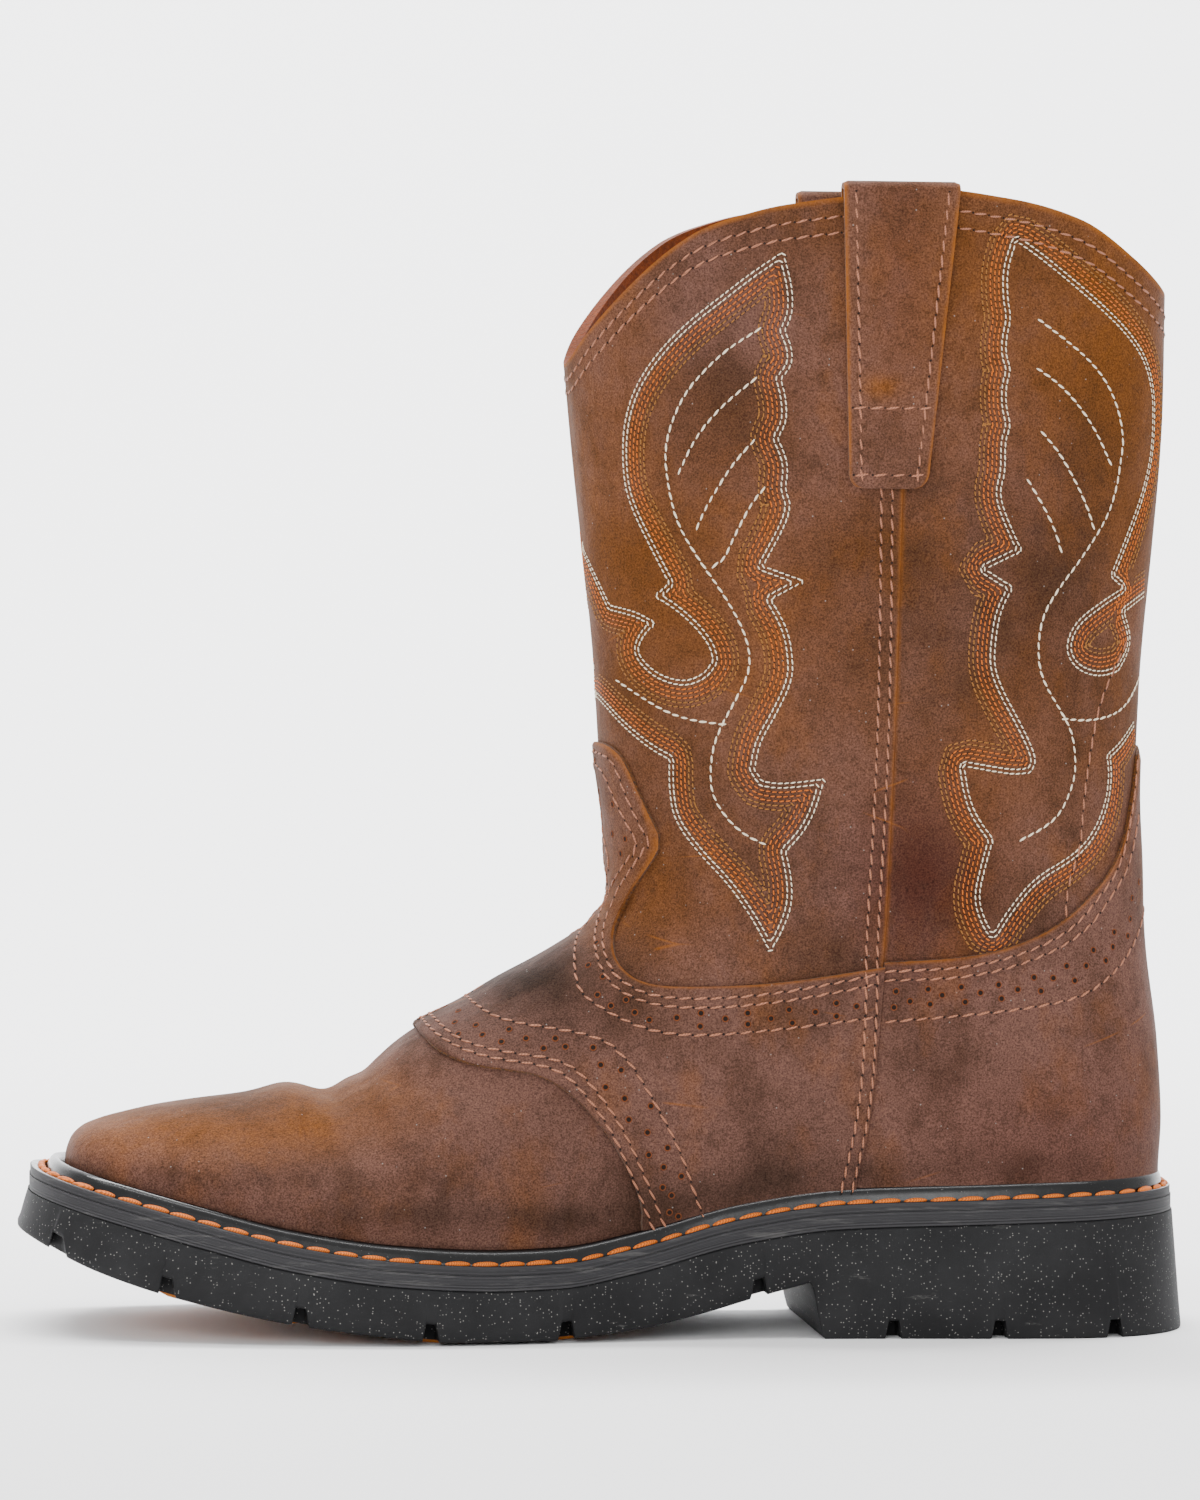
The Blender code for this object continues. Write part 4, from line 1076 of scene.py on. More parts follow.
def suede_lining(name, colours):
    """Flesh side of the hide, napped: rust brown, soft and without gloss."""
    material, nodes = new_material(name)
    where = nodes.where()
    nap = noise(nodes, where, 1100.0, 4.0, 0.7)
    cloud = noise(nodes, where, 60.0, 4.0, 0.6)
    colour = blend(nodes, remap(nodes, nap, 0.3, 0.7), colours.lining, colours.lining_dark)
    colour = blend(nodes, remap(nodes, cloud, 0.4, 0.65, 0.0, 0.5), colour, colours.lining_dark)
    rough = bump(nodes, 0.9, 0.35, nap)
    finish_material(nodes, colour, 0.95, rough, specular=0.1, sheen=0.15)
    return material


def moulded_rubber(name, colours):
    """Black moulded rubber, handled: charcoal, matt, with pale dust and a few scuffs."""
    material, nodes = new_material(name)
    where = nodes.where()
    grain = noise(nodes, where, 1300.0, 3.0, 0.6)
    cloud = noise(nodes, where, 45.0, 4.0, 0.6)
    dot = dots(nodes, where, 1350.0, 0.14, 0.26, 0.62, 0.72)
    dusty = remap(nodes, cloud, 0.4, 0.7, 0.0, 0.8)
    colour = blend(nodes, dusty, colours.rubber, colours.rubber_dust)
    streak = noise(nodes, stretch(nodes, where, (70.0, 70.0, 330.0)), 1.0, 6.0, 0.75)
    colour = blend(nodes, remap(nodes, streak, 0.64, 0.78, 0.0, 0.30), colour, colours.dust)
    colour = blend(nodes, times(nodes, dot, 0.7), colour, colours.dust)
    rough = bump(nodes, 0.35, 0.2, grain)
    finish_material(nodes, colour, 0.62, rough, specular=0.12)
    return material


def trimmed_edge(name, colours):
    """Sole edge ground flush on a wheel: grey, finely lined along its length, matt."""
    material, nodes = new_material(name)
    where = nodes.where()
    depth = attribute(nodes, "depth")
    lines = nodes.add("ShaderNodeTexNoise", {"noise_dimensions": "1D"}, W=depth, Scale=2600.0, Detail=3.0)
    line = lines.outputs["Fac"]
    cloud = noise(nodes, stretch(nodes, where, (60.0, 60.0, 700.0)), 1.0, 5.0, 0.7)
    colour = blend(nodes, remap(nodes, line, 0.35, 0.65), colours.band, colours.band_light)
    colour = blend(nodes, remap(nodes, cloud, 0.55, 0.8, 0.0, 0.25), colour, colours.dust)
    rough = bump(nodes, 0.5, 0.12, line)
    finish_material(nodes, colour, 0.58, rough, specular=0.12)
    return material


def glossy_welt(name, colours):
    """Extruded black welt, waxed: smooth and shiny, so that it draws a bright line."""
    material, nodes = new_material(name)
    where = nodes.where()
    cloud = noise(nodes, where, 300.0, 3.0, 0.6)
    dust = noise(nodes, where, 1500.0, 2.0, 0.5)
    colour = blend(nodes, remap(nodes, dust, 0.70, 0.76, 0.0, 0.3), colours.welt, colours.dust)
    rough = bump(nodes, 0.25, 0.1, cloud)
    finish_material(nodes, colour, remap(nodes, cloud, 0.3, 0.7, 0.20, 0.28), rough, specular=0.42)
    return material


def thread(name, colour, shade=0.55):
    """Twisted polyester sewing thread: satin, with fine slanted plies."""
    material, nodes = new_material(name)
    where = nodes.where()
    ply = nodes.add(
        "ShaderNodeTexWave", {"wave_type": "BANDS", "bands_direction": "DIAGONAL"},
        Vector=where, Scale=900.0, Distortion=2.0, Detail=1.0,
    ).outputs["Fac"]
    darker = tuple(c * shade for c in colour)
    mixed = blend(nodes, remap(nodes, ply, 0.2, 0.8), darker, colour)
    rough = bump(nodes, 0.5, 0.1, ply)
    finish_material(nodes, mixed, 0.6, rough, specular=0.2)
    return material


def plain_matt(name, colour, roughness=0.8, scale=400.0):
    """Plain matt surface with slight mottling, for board and for dark hole floors of painted shade."""
    material, nodes = new_material(name)
    where = nodes.where()
    mottle = noise(nodes, where, scale, 3.0, 0.6)
    darker = tuple(c * 0.7 for c in colour)
    mixed = blend(nodes, remap(nodes, mottle, 0.35, 0.65), darker, colour)
    rough = bump(nodes, 0.3, 0.1, mottle)
    finish_material(nodes, mixed, roughness, rough, specular=0.25)
    return material


def new_tree(name, inputs):
    """A geometry node tree with its named inputs, and what adds nodes to it."""
    tree = bpy.data.node_groups.new(name, "GeometryNodeTree")
    for label, kind in {"Geometry": "Geometry", **inputs}.items():
        tree.interface.new_socket(label, in_out="INPUT", socket_type="NodeSocket" + kind)
    tree.interface.new_socket("Geometry", in_out="OUTPUT", socket_type="NodeSocketGeometry")
    return tree, Nodes(tree)


def end_tree(nodes, points, shape, turn, surface, **scale):
    """Sets a shape on each point, makes the copies real and gives them their material."""
    placed = nodes.add("GeometryNodeInstanceOnPoints", Points=points, Instance=shape, Rotation=turn, **scale)
    real = nodes.add("GeometryNodeRealizeInstances", Geometry=placed.outputs[0])
    soft = nodes.add("GeometryNodeSetShadeSmooth", Geometry=real.outputs[0])
    done = nodes.add("GeometryNodeSetMaterial", Geometry=soft.outputs[0], Material=surface)
    nodes.add("NodeGroupOutput", Geometry=done.outputs[0])


def stitch_tree():
    """Geometry nodes that lay stitches along lines, each with its own surface normal."""
    tree, nodes = new_tree("stitches along lines", {
        "Pitch": "Float", "Stitch length": "Float", "Thread width": "Float", "Thread height": "Float",
        "Slant": "Float", "Shift": "Float", "Sides": "Int", "Rings": "Int", "Seed": "Int",
        "Thread": "Material",
    })
    given = nodes.add("NodeGroupInput").outputs
    curve = nodes.add("GeometryNodeMeshToCurve", Mesh=given["Geometry"]).outputs[0]
    points = nodes.add("GeometryNodeResampleCurve", {"mode": "LENGTH"}, Curve=curve, Length=given["Pitch"])
    tangent = nodes.add("GeometryNodeInputTangent").outputs[0]
    normal = nodes.add("GeometryNodeInputNamedAttribute", {"data_type": "FLOAT_VECTOR"}, Name="outward")
    turn = nodes.add("FunctionNodeAlignRotationToVector", {"axis": "X"}, Vector=tangent).outputs[0]
    turn = nodes.add(
        "FunctionNodeAlignRotationToVector", {"axis": "Z", "pivot_axis": "X"}, Rotation=turn,
        Vector=normal.outputs[0],
    ).outputs[0]
    slant = nodes.add("ShaderNodeCombineXYZ", Z=given["Slant"]).outputs[0]
    slant = nodes.add("FunctionNodeEulerToRotation", Euler=slant).outputs[0]
    turn = nodes.add("FunctionNodeRotateRotation", {"rotation_space": "LOCAL"}, Rotation=turn,
                     Rotate_By=slant).outputs[0]
    ball = nodes.add("GeometryNodeMeshUVSphere", Segments=given["Sides"], Rings=given["Rings"], Radius=0.5)
    lying = nodes.add("GeometryNodeTransform", Geometry=ball.outputs[0], Rotation=(0.0, math.pi / 2, 0.0))
    size = nodes.add(
        "ShaderNodeCombineXYZ", X=given["Stitch length"], Y=given["Thread width"], Z=given["Thread height"]
    )
    shift = nodes.add("ShaderNodeCombineXYZ", X=given["Shift"])
    stitch = nodes.add(
        "GeometryNodeTransform", Geometry=lying.outputs[0], Scale=size.outputs[0],
        Translation=shift.outputs[0],
    )
    uneven = nodes.add("FunctionNodeRandomValue", {"data_type": "FLOAT"}, Seed=given["Seed"])
    uneven.inputs[2].default_value, uneven.inputs[3].default_value = STITCH_SIZES
    end_tree(nodes, points.outputs[0], stitch.outputs[0], turn, given["Thread"], Scale=uneven.outputs[1])
    return tree


def hole_tree(ring):
    """Geometry nodes that set a ring, or a round floor, on each point and along its normal."""
    tree, nodes = new_tree(
        "hole rings" if ring else "hole floors", {"Radius": "Float", "Edge": "Float", "Surface": "Material"}
    )
    given = nodes.add("NodeGroupInput").outputs
    if ring:
        circle = nodes.add("GeometryNodeCurvePrimitiveCircle", Resolution=14, Radius=given["Radius"])
        wire = nodes.add("GeometryNodeCurvePrimitiveCircle", Resolution=6, Radius=given["Edge"])
        shape = nodes.add(
            "GeometryNodeCurveToMesh", Curve=circle.outputs[0], Profile_Curve=wire.outputs[0]
        )
    else:
        ball = nodes.add("GeometryNodeMeshUVSphere", Segments=12, Rings=6, Radius=given["Radius"])
        shape = nodes.add("GeometryNodeTransform", Geometry=ball.outputs[0], Scale=(1.0, 1.0, 0.15))
    normal = nodes.add("GeometryNodeInputNamedAttribute", {"data_type": "FLOAT_VECTOR"}, Name="outward")
    turn = nodes.add("FunctionNodeAlignRotationToVector", {"axis": "Z"}, Vector=normal.outputs[0])
    end_tree(nodes, given["Geometry"], shape.outputs[0], turn.outputs[0], given["Surface"])
    return tree


def run_nodes(name, tree, points, normals, edges, values):
    """Evaluates a node tree on points or lines and keeps the result as a plain mesh piece."""
    mesh = bpy.data.meshes.new(name + " lines")
    mesh.from_pydata(np.asarray(points, float).tolist(), edges, [])
    layer = mesh.attributes.new("outward", "FLOAT_VECTOR", "POINT")
    layer.data.foreach_set("vector", np.asarray(normals, np.float32).ravel())
    guide = add_object(name + " guide", mesh)
    modifier = guide.modifiers.new("nodes", "NODES")
    modifier.node_group = tree
    sockets = {item.name: item.identifier for item in tree.interface.items_tree if item.in_out == "INPUT"}
    for label, value in values.items():
        modifier[sockets[label]] = value
    seen = guide.evaluated_get(bpy.context.evaluated_depsgraph_get())
    result = bpy.data.meshes.new_from_object(seen)
    result.name = name
    bpy.data.objects.remove(guide, do_unlink=True)
    bpy.data.meshes.remove(mesh)
    add_piece(name, result, ())


def dense_line(points, step):
    """Points spread along a broken line with its corners kept, a given step apart at most."""
    points = np.asarray(points, float)
    parts = [points[:1]]
    for start, end in zip(points[:-1], points[1:]):
        count = max(1, int(np.ceil(np.linalg.norm(end - start) / step)))
        t = np.linspace(0, 1, count + 1)[1:, None]
        parts.append(start + (end - start) * t)
    return np.concatenate(parts)


def rounded(points, corner):
    """A broken line with its gentle bends rounded and its sharp corners kept."""
    points = [np.asarray(p, float) for p in points]
    for _ in range(2):
        out = [points[0]]
        for before, point, after in zip(points[:-2], points[1:-1], points[2:]):
            a = point - before
            b = after - point
            turn = math.degrees(math.acos(np.clip(a @ b / (np.linalg.norm(a) * np.linalg.norm(b)), -1, 1)))
            if turn > corner:
                out.append(point)
            else:
                out.append(point - a * 0.25)
                out.append(point + b * 0.25)
        out.append(points[-1])
        points = out
    return np.array(points)


class Line:
    """A line on the leather as places, angles and heights, for one side or both."""

    def __init__(self, place, angle, lift):
        self.place = np.asarray(place, float)
        self.angle = np.asarray(angle, float)
        self.lift = np.broadcast_to(np.asarray(lift, float), self.place.shape)

    def points(self, medial=False):
        angle = 2 * math.pi - self.angle if medial else self.angle
        return lifted(self.place, angle, self.lift), normal_at(self.place, angle)


def photo_line(pixels, lift, corner=50.0, step=4.0):
    """A row on the leather that follows pixels of the photograph."""
    pixels = dense_line(rounded(pixels, corner), step)
    place, angle = on_leather(pixels)
    return Line(place, angle, lift)


def collect(lines):
    """Points, normals and edges of lines on both sides of the boot."""
    points = []
    normals = []
    edges = []
    for line in lines:
        for medial in (False, True):
            found, outward = line.points(medial)
            start = len(points)
            points.extend(found)
            normals.extend(outward)
            edges.extend((start + i, start + i + 1) for i in range(len(found) - 1))
    return np.array(points), np.array(normals), edges


def stitches(name, tree, lines, pitch, length, width, material, slant=0.12, sides=6, rings=4):
    """A piece of thread for each stitch along the lines."""
    points, normals, edges = lines if isinstance(lines, tuple) else collect(lines)
    values = {
        "Pitch": pitch, "Stitch length": length, "Thread width": width, "Thread height": width * 0.8,
        "Slant": slant, "Sides": sides, "Rings": rings, "Seed": 7, "Thread": material,
    }
    run_nodes(name, tree, points, normals, edges, values)


def needle_holes(name, tree, lines, pitch, width, material, sides=6):
    """Dark dimples between the stitches of the same lines: painted shade in the needle holes."""
    points, normals, edges = lines if isinstance(lines, tuple) else collect(lines)
    values = {
        "Pitch": pitch, "Stitch length": width, "Thread width": width, "Thread height": width * 0.35,
        "Shift": pitch / 2, "Sides": sides, "Rings": 2, "Seed": 7, "Thread": material,
    }
    run_nodes(name, tree, points, normals, edges, values)


def inner_row(pixels, distance):
    """A row of the ornament: its outer row moved inwards on the leather by distance."""
    place, angle = on_leather(pixels)
    points = form(place, angle)
    normals = normal_at(place, angle)
    tangent = np.gradient(points, axis=0)
    tangent /= np.maximum(np.linalg.norm(tangent, axis=1, keepdims=True), 1e-9)
    across = np.cross(normals, tangent)
    moved = points - across * distance
    gap = np.linalg.norm(moved[:, None, :] - points[None, :, :], axis=2).min(axis=1)
    keep = (gap > distance * 0.94) & (moved[:, 1] > 0)
    moved = moved[keep]
    found_place, found_angle = locate(moved[:, 0], moved[:, 2])
    return found_place, found_angle


def split_line(place, angle, lift, longest):
    """Lines from a row, broken where its points jump further than longest."""
    points = form(place, angle)
    jumps = np.linalg.norm(np.diff(points, axis=0), axis=1) > longest
    starts = [0] + list(np.nonzero(jumps)[0] + 1)
    ends = list(np.nonzero(jumps)[0] + 1) + [len(points)]
    return [Line(place[a:b], angle[a:b], lift) for a, b in zip(starts, ends) if b - a > 3]


def patch(left, right, bottom, top):
    """Grid filled between four edges that share their corners."""
    q = np.linspace(0, 1, len(left))[:, None, None]
    p = np.linspace(0, 1, len(bottom))[None, :, None]
    across = left[:, None, :] * (1 - p) + right[:, None, :] * p
    upwards = bottom[None, :, :] * (1 - q) + top[None, :, :] * q
    corners = (
        (1 - p) * (1 - q) * bottom[0] + p * (1 - q) * bottom[-1] + (1 - p) * q * top[0] + p * q * top[-1]
    )
    return across + upwards - corners


def relaxed(grid, passes):
    """The grid with its inner points moved until no cell folds over its neighbour."""
    for _ in range(passes):
        along = (grid[2:, 1:-1] - grid[:-2, 1:-1]) / 2
        across = (grid[1:-1, 2:] - grid[1:-1, :-2]) / 2
        twist = (grid[2:, 2:] - grid[:-2, 2:] - grid[2:, :-2] + grid[:-2, :-2]) / 4
        stiff = (across**2).sum(axis=2, keepdims=True)
        loose = (along**2).sum(axis=2, keepdims=True)
        skew = (along * across).sum(axis=2, keepdims=True)
        ends = stiff * (grid[2:, 1:-1] + grid[:-2, 1:-1]) + loose * (grid[1:-1, 2:] + grid[1:-1, :-2])
        grid[1:-1, 1:-1] = (ends - 2 * skew * twist) / (2 * (stiff + loose))
    return grid


def spread(values, step, axis):
    """Rows or columns put between those of a coarser grid."""
    count = (values.shape[axis] - 1) * step + 1
    marks = np.arange(count) / step
    low = np.minimum(marks.astype(int), values.shape[axis] - 2)
    shape = [1, 1, 1]
    shape[axis] = count
    share = (marks - low).reshape(shape)
    return np.take(values, low, axis) * (1 - share) + np.take(values, low + 1, axis) * share


def unfolded(grid):
    """The grid relaxed from coarse to fine. Its rows and columns are a multiple of 8, plus 1."""
    scale = np.array([UPPER_HEIGHT, LENGTH / 5])
    grid = grid * scale
    for step in (8, 4, 2, 1):
        coarse = relaxed(grid[::step, ::step].copy(), 150)
        fine = spread(spread(coarse, step, 0), step, 1)
        grid[1:-1, 1:-1] = fine[1:-1, 1:-1]
    return grid / scale


def resample(points, count):
    """A broken line with a given count of evenly spread points."""
    points = np.array(points, float)
    lengths = np.concatenate([[0], np.cumsum(np.linalg.norm(np.diff(points, axis=0), axis=1))])
    marks = np.linspace(0, lengths[-1], count)
    return np.stack([np.interp(marks, lengths, points[:, k]) for k in range(2)], axis=1)


def photo_edge(pixels):
    """An overlay's edge that follows pixels of the photograph."""
    place, angle = on_leather(rounded(pixels, 60.0))
    return list(zip(place, angle))


def bead_edge(start, end, count):
    """Lower edge of an overlay, just above the welt's bead, between two angles."""
    angles = np.linspace(start, end, count)
    x = FOOT_OUTLINE.at((1 - np.cos(angles)) / 2)
    place, _ = locate(x, welt_top(x) + BEAD * 0.8)
    return list(zip(place, angles))


def overlay(name, grid, low, high, materials, nodes):
    """Leather overlay on both sides, with a rounded edge that is raw along its last row."""
    mirrored = grid[:, -2::-1].copy()
    mirrored[:, :, 1] = 2 * math.pi - mirrored[:, :, 1]
    both = np.concatenate([grid, mirrored], axis=1)
    rows, columns = both.shape[:2]
    place, angle = both[:, :, 0], both[:, :, 1]
    flat = form(place, angle)
    inward = np.minimum(
        np.minimum(edge_distance(flat, 0), edge_distance(flat[::-1], 0)[::-1]),
        np.minimum(edge_distance(flat, 1), edge_distance(flat[:, ::-1], 1)[:, ::-1]),
    )
    outer = lifted(place, angle, high - worn_edge(inward / (0.9 * MM), OVERLAY_ROUND))
    inner = lifted(place, angle, low)
    points = np.concatenate([outer.reshape(-1, 3), inner.reshape(-1, 3)])
    faces, slots = slab(rows, columns)
    edge = np.exp(-(edge_distance(flat[::-1], 0)[::-1] / (0.5 * MM)) ** 2) * 0.6
    values = leather_attributes(flat, edge)
    attributes = {key: np.concatenate([value.ravel()] * 2) for key, value in values.items()}
    make_piece(name, points, faces, materials, nodes, attributes, slots)


def edge_distance(points, axis):
    """Distance of each point of a grid from the grid's first row or column."""
    step = np.linalg.norm(np.diff(points, axis=axis), axis=2)
    total = np.cumsum(step, axis=axis)
    return np.insert(total, 0, 0.0, axis=axis)


def upper_angles(place):
    """Angles of the upper's columns, dense at the side seam so that its raw edge stays narrow."""
    seam = float(seam_angle(place))
    lap = SEAM_LAP / (LENGTH / 4)
    near = 0.9 * MM / (LENGTH / 4)
    back = np.append(np.linspace(0, seam - near, 51), seam)
    spacing = np.linspace(0, 1, 91) ** 1.2
    front = seam + lap + near + (math.pi - seam - lap - near) * spacing
    side = np.concatenate([back, [seam + lap / 2, seam + lap], front])
    return np.concatenate([side, 2 * math.pi - side[-2:0:-1]])


def build_upper(made):
    """The hollow upper: its outside with the lapped front panel, its lining and the cut collar."""
    places = np.unique(np.concatenate([np.linspace(*row) for row in UPPER_ROWS]))
    outer = []
    edges = []
    for place in places:
        angles = upper_angles(place)
        outer.append(lifted(place, angles, panel_step(place, angles)))
        collar = (1 - place) * UPPER_HEIGHT
        line = np.abs((folded(angles) - seam_angle(place)) * LENGTH / 4 - 0.3 * MM)
        seam_edge = 0.5 * np.exp(-(line / (0.4 * MM)) ** 2) * ease(place, 0.34, 0.36)
        edges.append(np.maximum(seam_edge, 0.8 * math.exp(-(collar / (0.5 * MM)) ** 2)))
    outer = np.array(outer)
    rows, columns = outer.shape[:2]
    lining_rows = 54
    picked = places[np.linspace(0, rows - 1, lining_rows).astype(int)]
    inner = np.array([lifted(place, upper_angles(place), -WALL) for place in picked])
    inner[0, :, 2] = outer[0, :, 2]
    inner[-1, :, 2] = outer[-1, :, 2] - 0.15 * MM
    points = np.concatenate([outer.reshape(-1, 3), inner.reshape(-1, 3)])
    half = rows * columns
    outside = grid_faces(rows, columns, True)
    inside = grid_faces(lining_rows, columns, True, half, True)
    foot = list(range(columns))
    top = [half - columns + j for j in foot][::-1]
    inner_top = [len(points) - columns + j for j in foot][::-1]
    faces = outside + inside + rim_faces(foot, [half + j for j in foot]) + rim_faces(top, inner_top)
    slots = [0] * len(outside) + [1] * len(inside) + [2] * columns + [1] * columns
    values = leather_attributes(outer, np.array(edges))
    zeros = np.zeros(len(points) - half)
    attributes = {key: np.concatenate([value.ravel(), zeros]) for key, value in values.items()}
    materials = [made["leather"], made["lining"], made["raw"]]
    make_piece("boot_upper", points, faces, materials, ("upper",), attributes, slots,
               outwards=False)


def seam_side(start, end, count, split):
    """An overlay's edge along the side seam between two places, the angle split past it."""
    return [(place, float(seam_angle(place)) + split) for place in np.linspace(start, end, count)]


def build_saddle(made):
    """The overlay over the instep, with its tab up the front of the shaft."""
    front = photo_edge(SADDLE_EDGE_FRONT_PX)[::-1]
    top = photo_edge(SADDLE_EDGE_TOP_PX)[::-1]
    ridge_start = (front[-1][0] - 0.006, math.pi)
    ridge_end = (top[-1][0], math.pi)
    front.append(ridge_start)
    top.append(ridge_end)
    low = bead_edge(front[0][1], float(seam_angle(0.04)) - SADDLE_SPLIT, 12)
    front[0] = low[0]
    high = seam_side(0.06, top[0][0] - 0.01, 14, -SADDLE_SPLIT)
    top[0] = seam_side(top[0][0], top[0][0], 1, -SADDLE_SPLIT)[0]
    left = resample(low + high + [top[0]], 137)
    right = resample([ridge_start, ridge_end], 137)
    grid = unfolded(patch(left, right, resample(front, 105), resample(top, 105)))
    base = PANEL_STEP * ease(grid[:, :, 0], 0.0, 0.30)
    both = np.concatenate([base, base[:, -2::-1]], axis=1)
    overlay(
        "boot_saddle", grid, both + HAIR_GAP, np.full(both.shape, SADDLE_TOP_LIFT),
        [made["overlay"], made["dark_raw"]], ("saddle",),
    )


def build_counter(made):
    """The overlay round the heel."""
    top = photo_edge(COUNTER_EDGE_PX)
    top.append((top[-1][0] + 0.008, 0.0))
    bottom = bead_edge(float(seam_angle(0.04)) + COUNTER_SPLIT, 0.0, 12)
    top[0] = seam_side(top[0][0], top[0][0], 1, COUNTER_SPLIT)[0]
    left = resample(seam_side(bottom[0][0], top[0][0], 12, COUNTER_SPLIT), 105)
    right = resample([bottom[-1], top[-1]], 105)
    grid = unfolded(patch(left, right, resample(bottom, 81), resample(top, 81)))
    shape = (grid.shape[0], grid.shape[1] * 2 - 1)
    overlay(
        "boot_counter", grid, np.full(shape, HAIR_GAP), np.full(shape, COUNTER_TOP_LIFT),
        [made["overlay"], made["dark_raw"]], ("counter",),
    )


def skin(x, z, side):
    """Half width of the upper at x and z."""
    place, angle = locate(x, z)
    if side == 1:
        angle = 2 * math.pi - angle
    return np.abs(lifted(place, angle, 0.0)[:, 1])


def strap_half(way):
    """Half width of the strap, with the rounded corners of its foot."""
    half = (STRAP_FOOT + (STRAP_TOP - STRAP_FOOT) * way) / 2
    corner = np.clip(way * STRAP_DROP / STRAP_CORNER, 0, 1)
    return half - STRAP_CORNER * (1 - np.sqrt(1 - (1 - corner) ** 2)) * 0.8


def strap_middle(way):
    """Where the middle of the strap lies along the boot."""
    return (STRAP_STATION - 0.5) * LENGTH + STRAP_SWAY * (1 - way)


def strap_crest(side):
    """Height of the strap where it folds over the collar."""
    back_x = back_point(1.0)[0]
    way = (strap_middle(1.0) - back_x) / (front_point(1.0)[0] - back_x)
    return float(side_line(1.0, way)[1] + side * medial_rise(way))


def build_strap(name, side, made, node):
    """A pull strap: up the outside, over the collar and down the inside."""
    sign = (1, -1)[side]
    shares = np.linspace(-1, 1, 25)
    edge_drop = worn_edge((1 - np.abs(shares)) * 12, STRAP_ROUND)
    near = []
    far = []

    def add(y_low, y_high, z_low, z_high, x):
        near.append(np.stack([x, sign * y_low, z_low], axis=1))
        far.append(np.stack([x, sign * y_high, z_high], axis=1))

    up = np.concatenate([np.linspace(0, 0.06, 10)[:-1], np.linspace(0.06, 0.985, 60)])
    for way in up:
        x = strap_middle(way) + shares * strap_half(way)
        z = np.full(x.shape, strap_crest(side) - STRAP_DROP * (1 - way))
        base = skin(x, z, side)
        lip = STRAP_ROUND * (1 - min(1.0, way * STRAP_DROP / MM)) ** 2
        sag = 0.25 * MM * np.sin(way * 9.0)
        add(base + STRAP_LIFT, base + STRAP_LIFT + STRAP_THICKNESS + sag - edge_drop - lip, z, z, x)
    for turn in np.linspace(0.12, math.pi - 0.12, 14):
        x = strap_middle(1.0) + shares * strap_half(1.0)
        top = np.full(x.shape, strap_crest(side))
        base = skin(x, top, side)
        middle = base - (WALL - STRAP_LIFT) / 2
        width = (WALL + STRAP_LIFT) / 2 + 0.2 * MM
        outer = width + STRAP_THICKNESS - edge_drop
        crest = STRAP_THICKNESS + 0.4 * MM - edge_drop
        add(middle + width * math.cos(turn), middle + outer * math.cos(turn),
            top + 0.4 * MM * math.sin(turn), top + crest * math.sin(turn), x)
    for share in np.linspace(0.02, 1, 20):
        way = 1 - STRAP_INSIDE / STRAP_DROP * share
        x = strap_middle(way) + shares * strap_half(way)
        z = np.full(x.shape, strap_crest(side) - STRAP_INSIDE * share)
        base = skin(x, z, side) - WALL - 0.3 * MM
        add(base, base - STRAP_THICKNESS + edge_drop, z, z, x)
    far = np.array(far)
    near = np.array(near)
    points = np.concatenate([far.reshape(-1, 3), near.reshape(-1, 3)])
    faces, slots = slab(*far.shape[:2])
    edge = np.tile(np.exp(-((1 - np.abs(shares)) * 22) ** 2) * 0.8, (len(far), 1))
    values = leather_attributes(far, edge)
    attributes = {key: np.concatenate([value.ravel()] * 2) for key, value in values.items()}
    make_piece(name, points, faces, [made["strap"], made["raw"]], (node,), attributes, slots)


def welt_ends(angle):
    """Points across from each other on the welt's edge and at the upper's foot."""
    way = (1 - math.cos(angle)) / 2
    side = 0 if math.sin(angle) >= 0 else 1
    ends = []
    for outline in (WELT_OUTLINE, FOOT_OUTLINE.inset(-WELT_CLEAR)):
        x = outline.at(way)
        ends.append(np.array([x, (1, -1)[side] * outline.half(x, side)]))
    return ends


def build_welt(made):
    """The welt with its flat strip, its stitch groove and its raised bead."""
    count = 460
    sections = []
    for angle in np.linspace(0, 2 * math.pi, count, endpoint=False):
        edge, foot = welt_ends(angle)
        section = []
        for share, rise in WELT_SECTION:
            x, y = edge * (1 - share) + foot * share
            section.append((x, y, welt_top(x) + rise * BEAD))
        for x, y in (foot, edge):
            section.append((x, y, welt_top(x) - FLANGE))
        sections.append(section)
    size = len(sections[0])
    points = np.array(sections).reshape(-1, 3)
    faces = [tuple(k % len(points) for k in face) for face in grid_faces(count + 1, size, True)]
    slots = ([1] + [0] * (size - 2) + [1]) * count
    depth = np.tile([0.0] * (size - 1) + [FLANGE], count)
    make_piece("boot_welt", points, faces, [made["welt"], made["band"]], ("welt",),
               {"depth": depth}, slots)


def welt_stitch_lines():
    """Line of the lock-stitches on the welt, between its edge and its bead."""
    points = []
    normals = []
    for angle in np.linspace(0, 2 * math.pi, 900, endpoint=False):
        edge, foot = welt_ends(angle)
        x, y = edge * (1 - WELT_ROW) + foot * WELT_ROW
        points.append((x, y, welt_top(x) + 0.15 * MM))
        out = edge - foot
        out = out / np.linalg.norm(out)
        normals.append((out[0] * 0.35, out[1] * 0.35, 1.0))
    edges = [(i, i + 1) for i in range(len(points) - 1)]
    return np.array(points), np.array(normals), edges


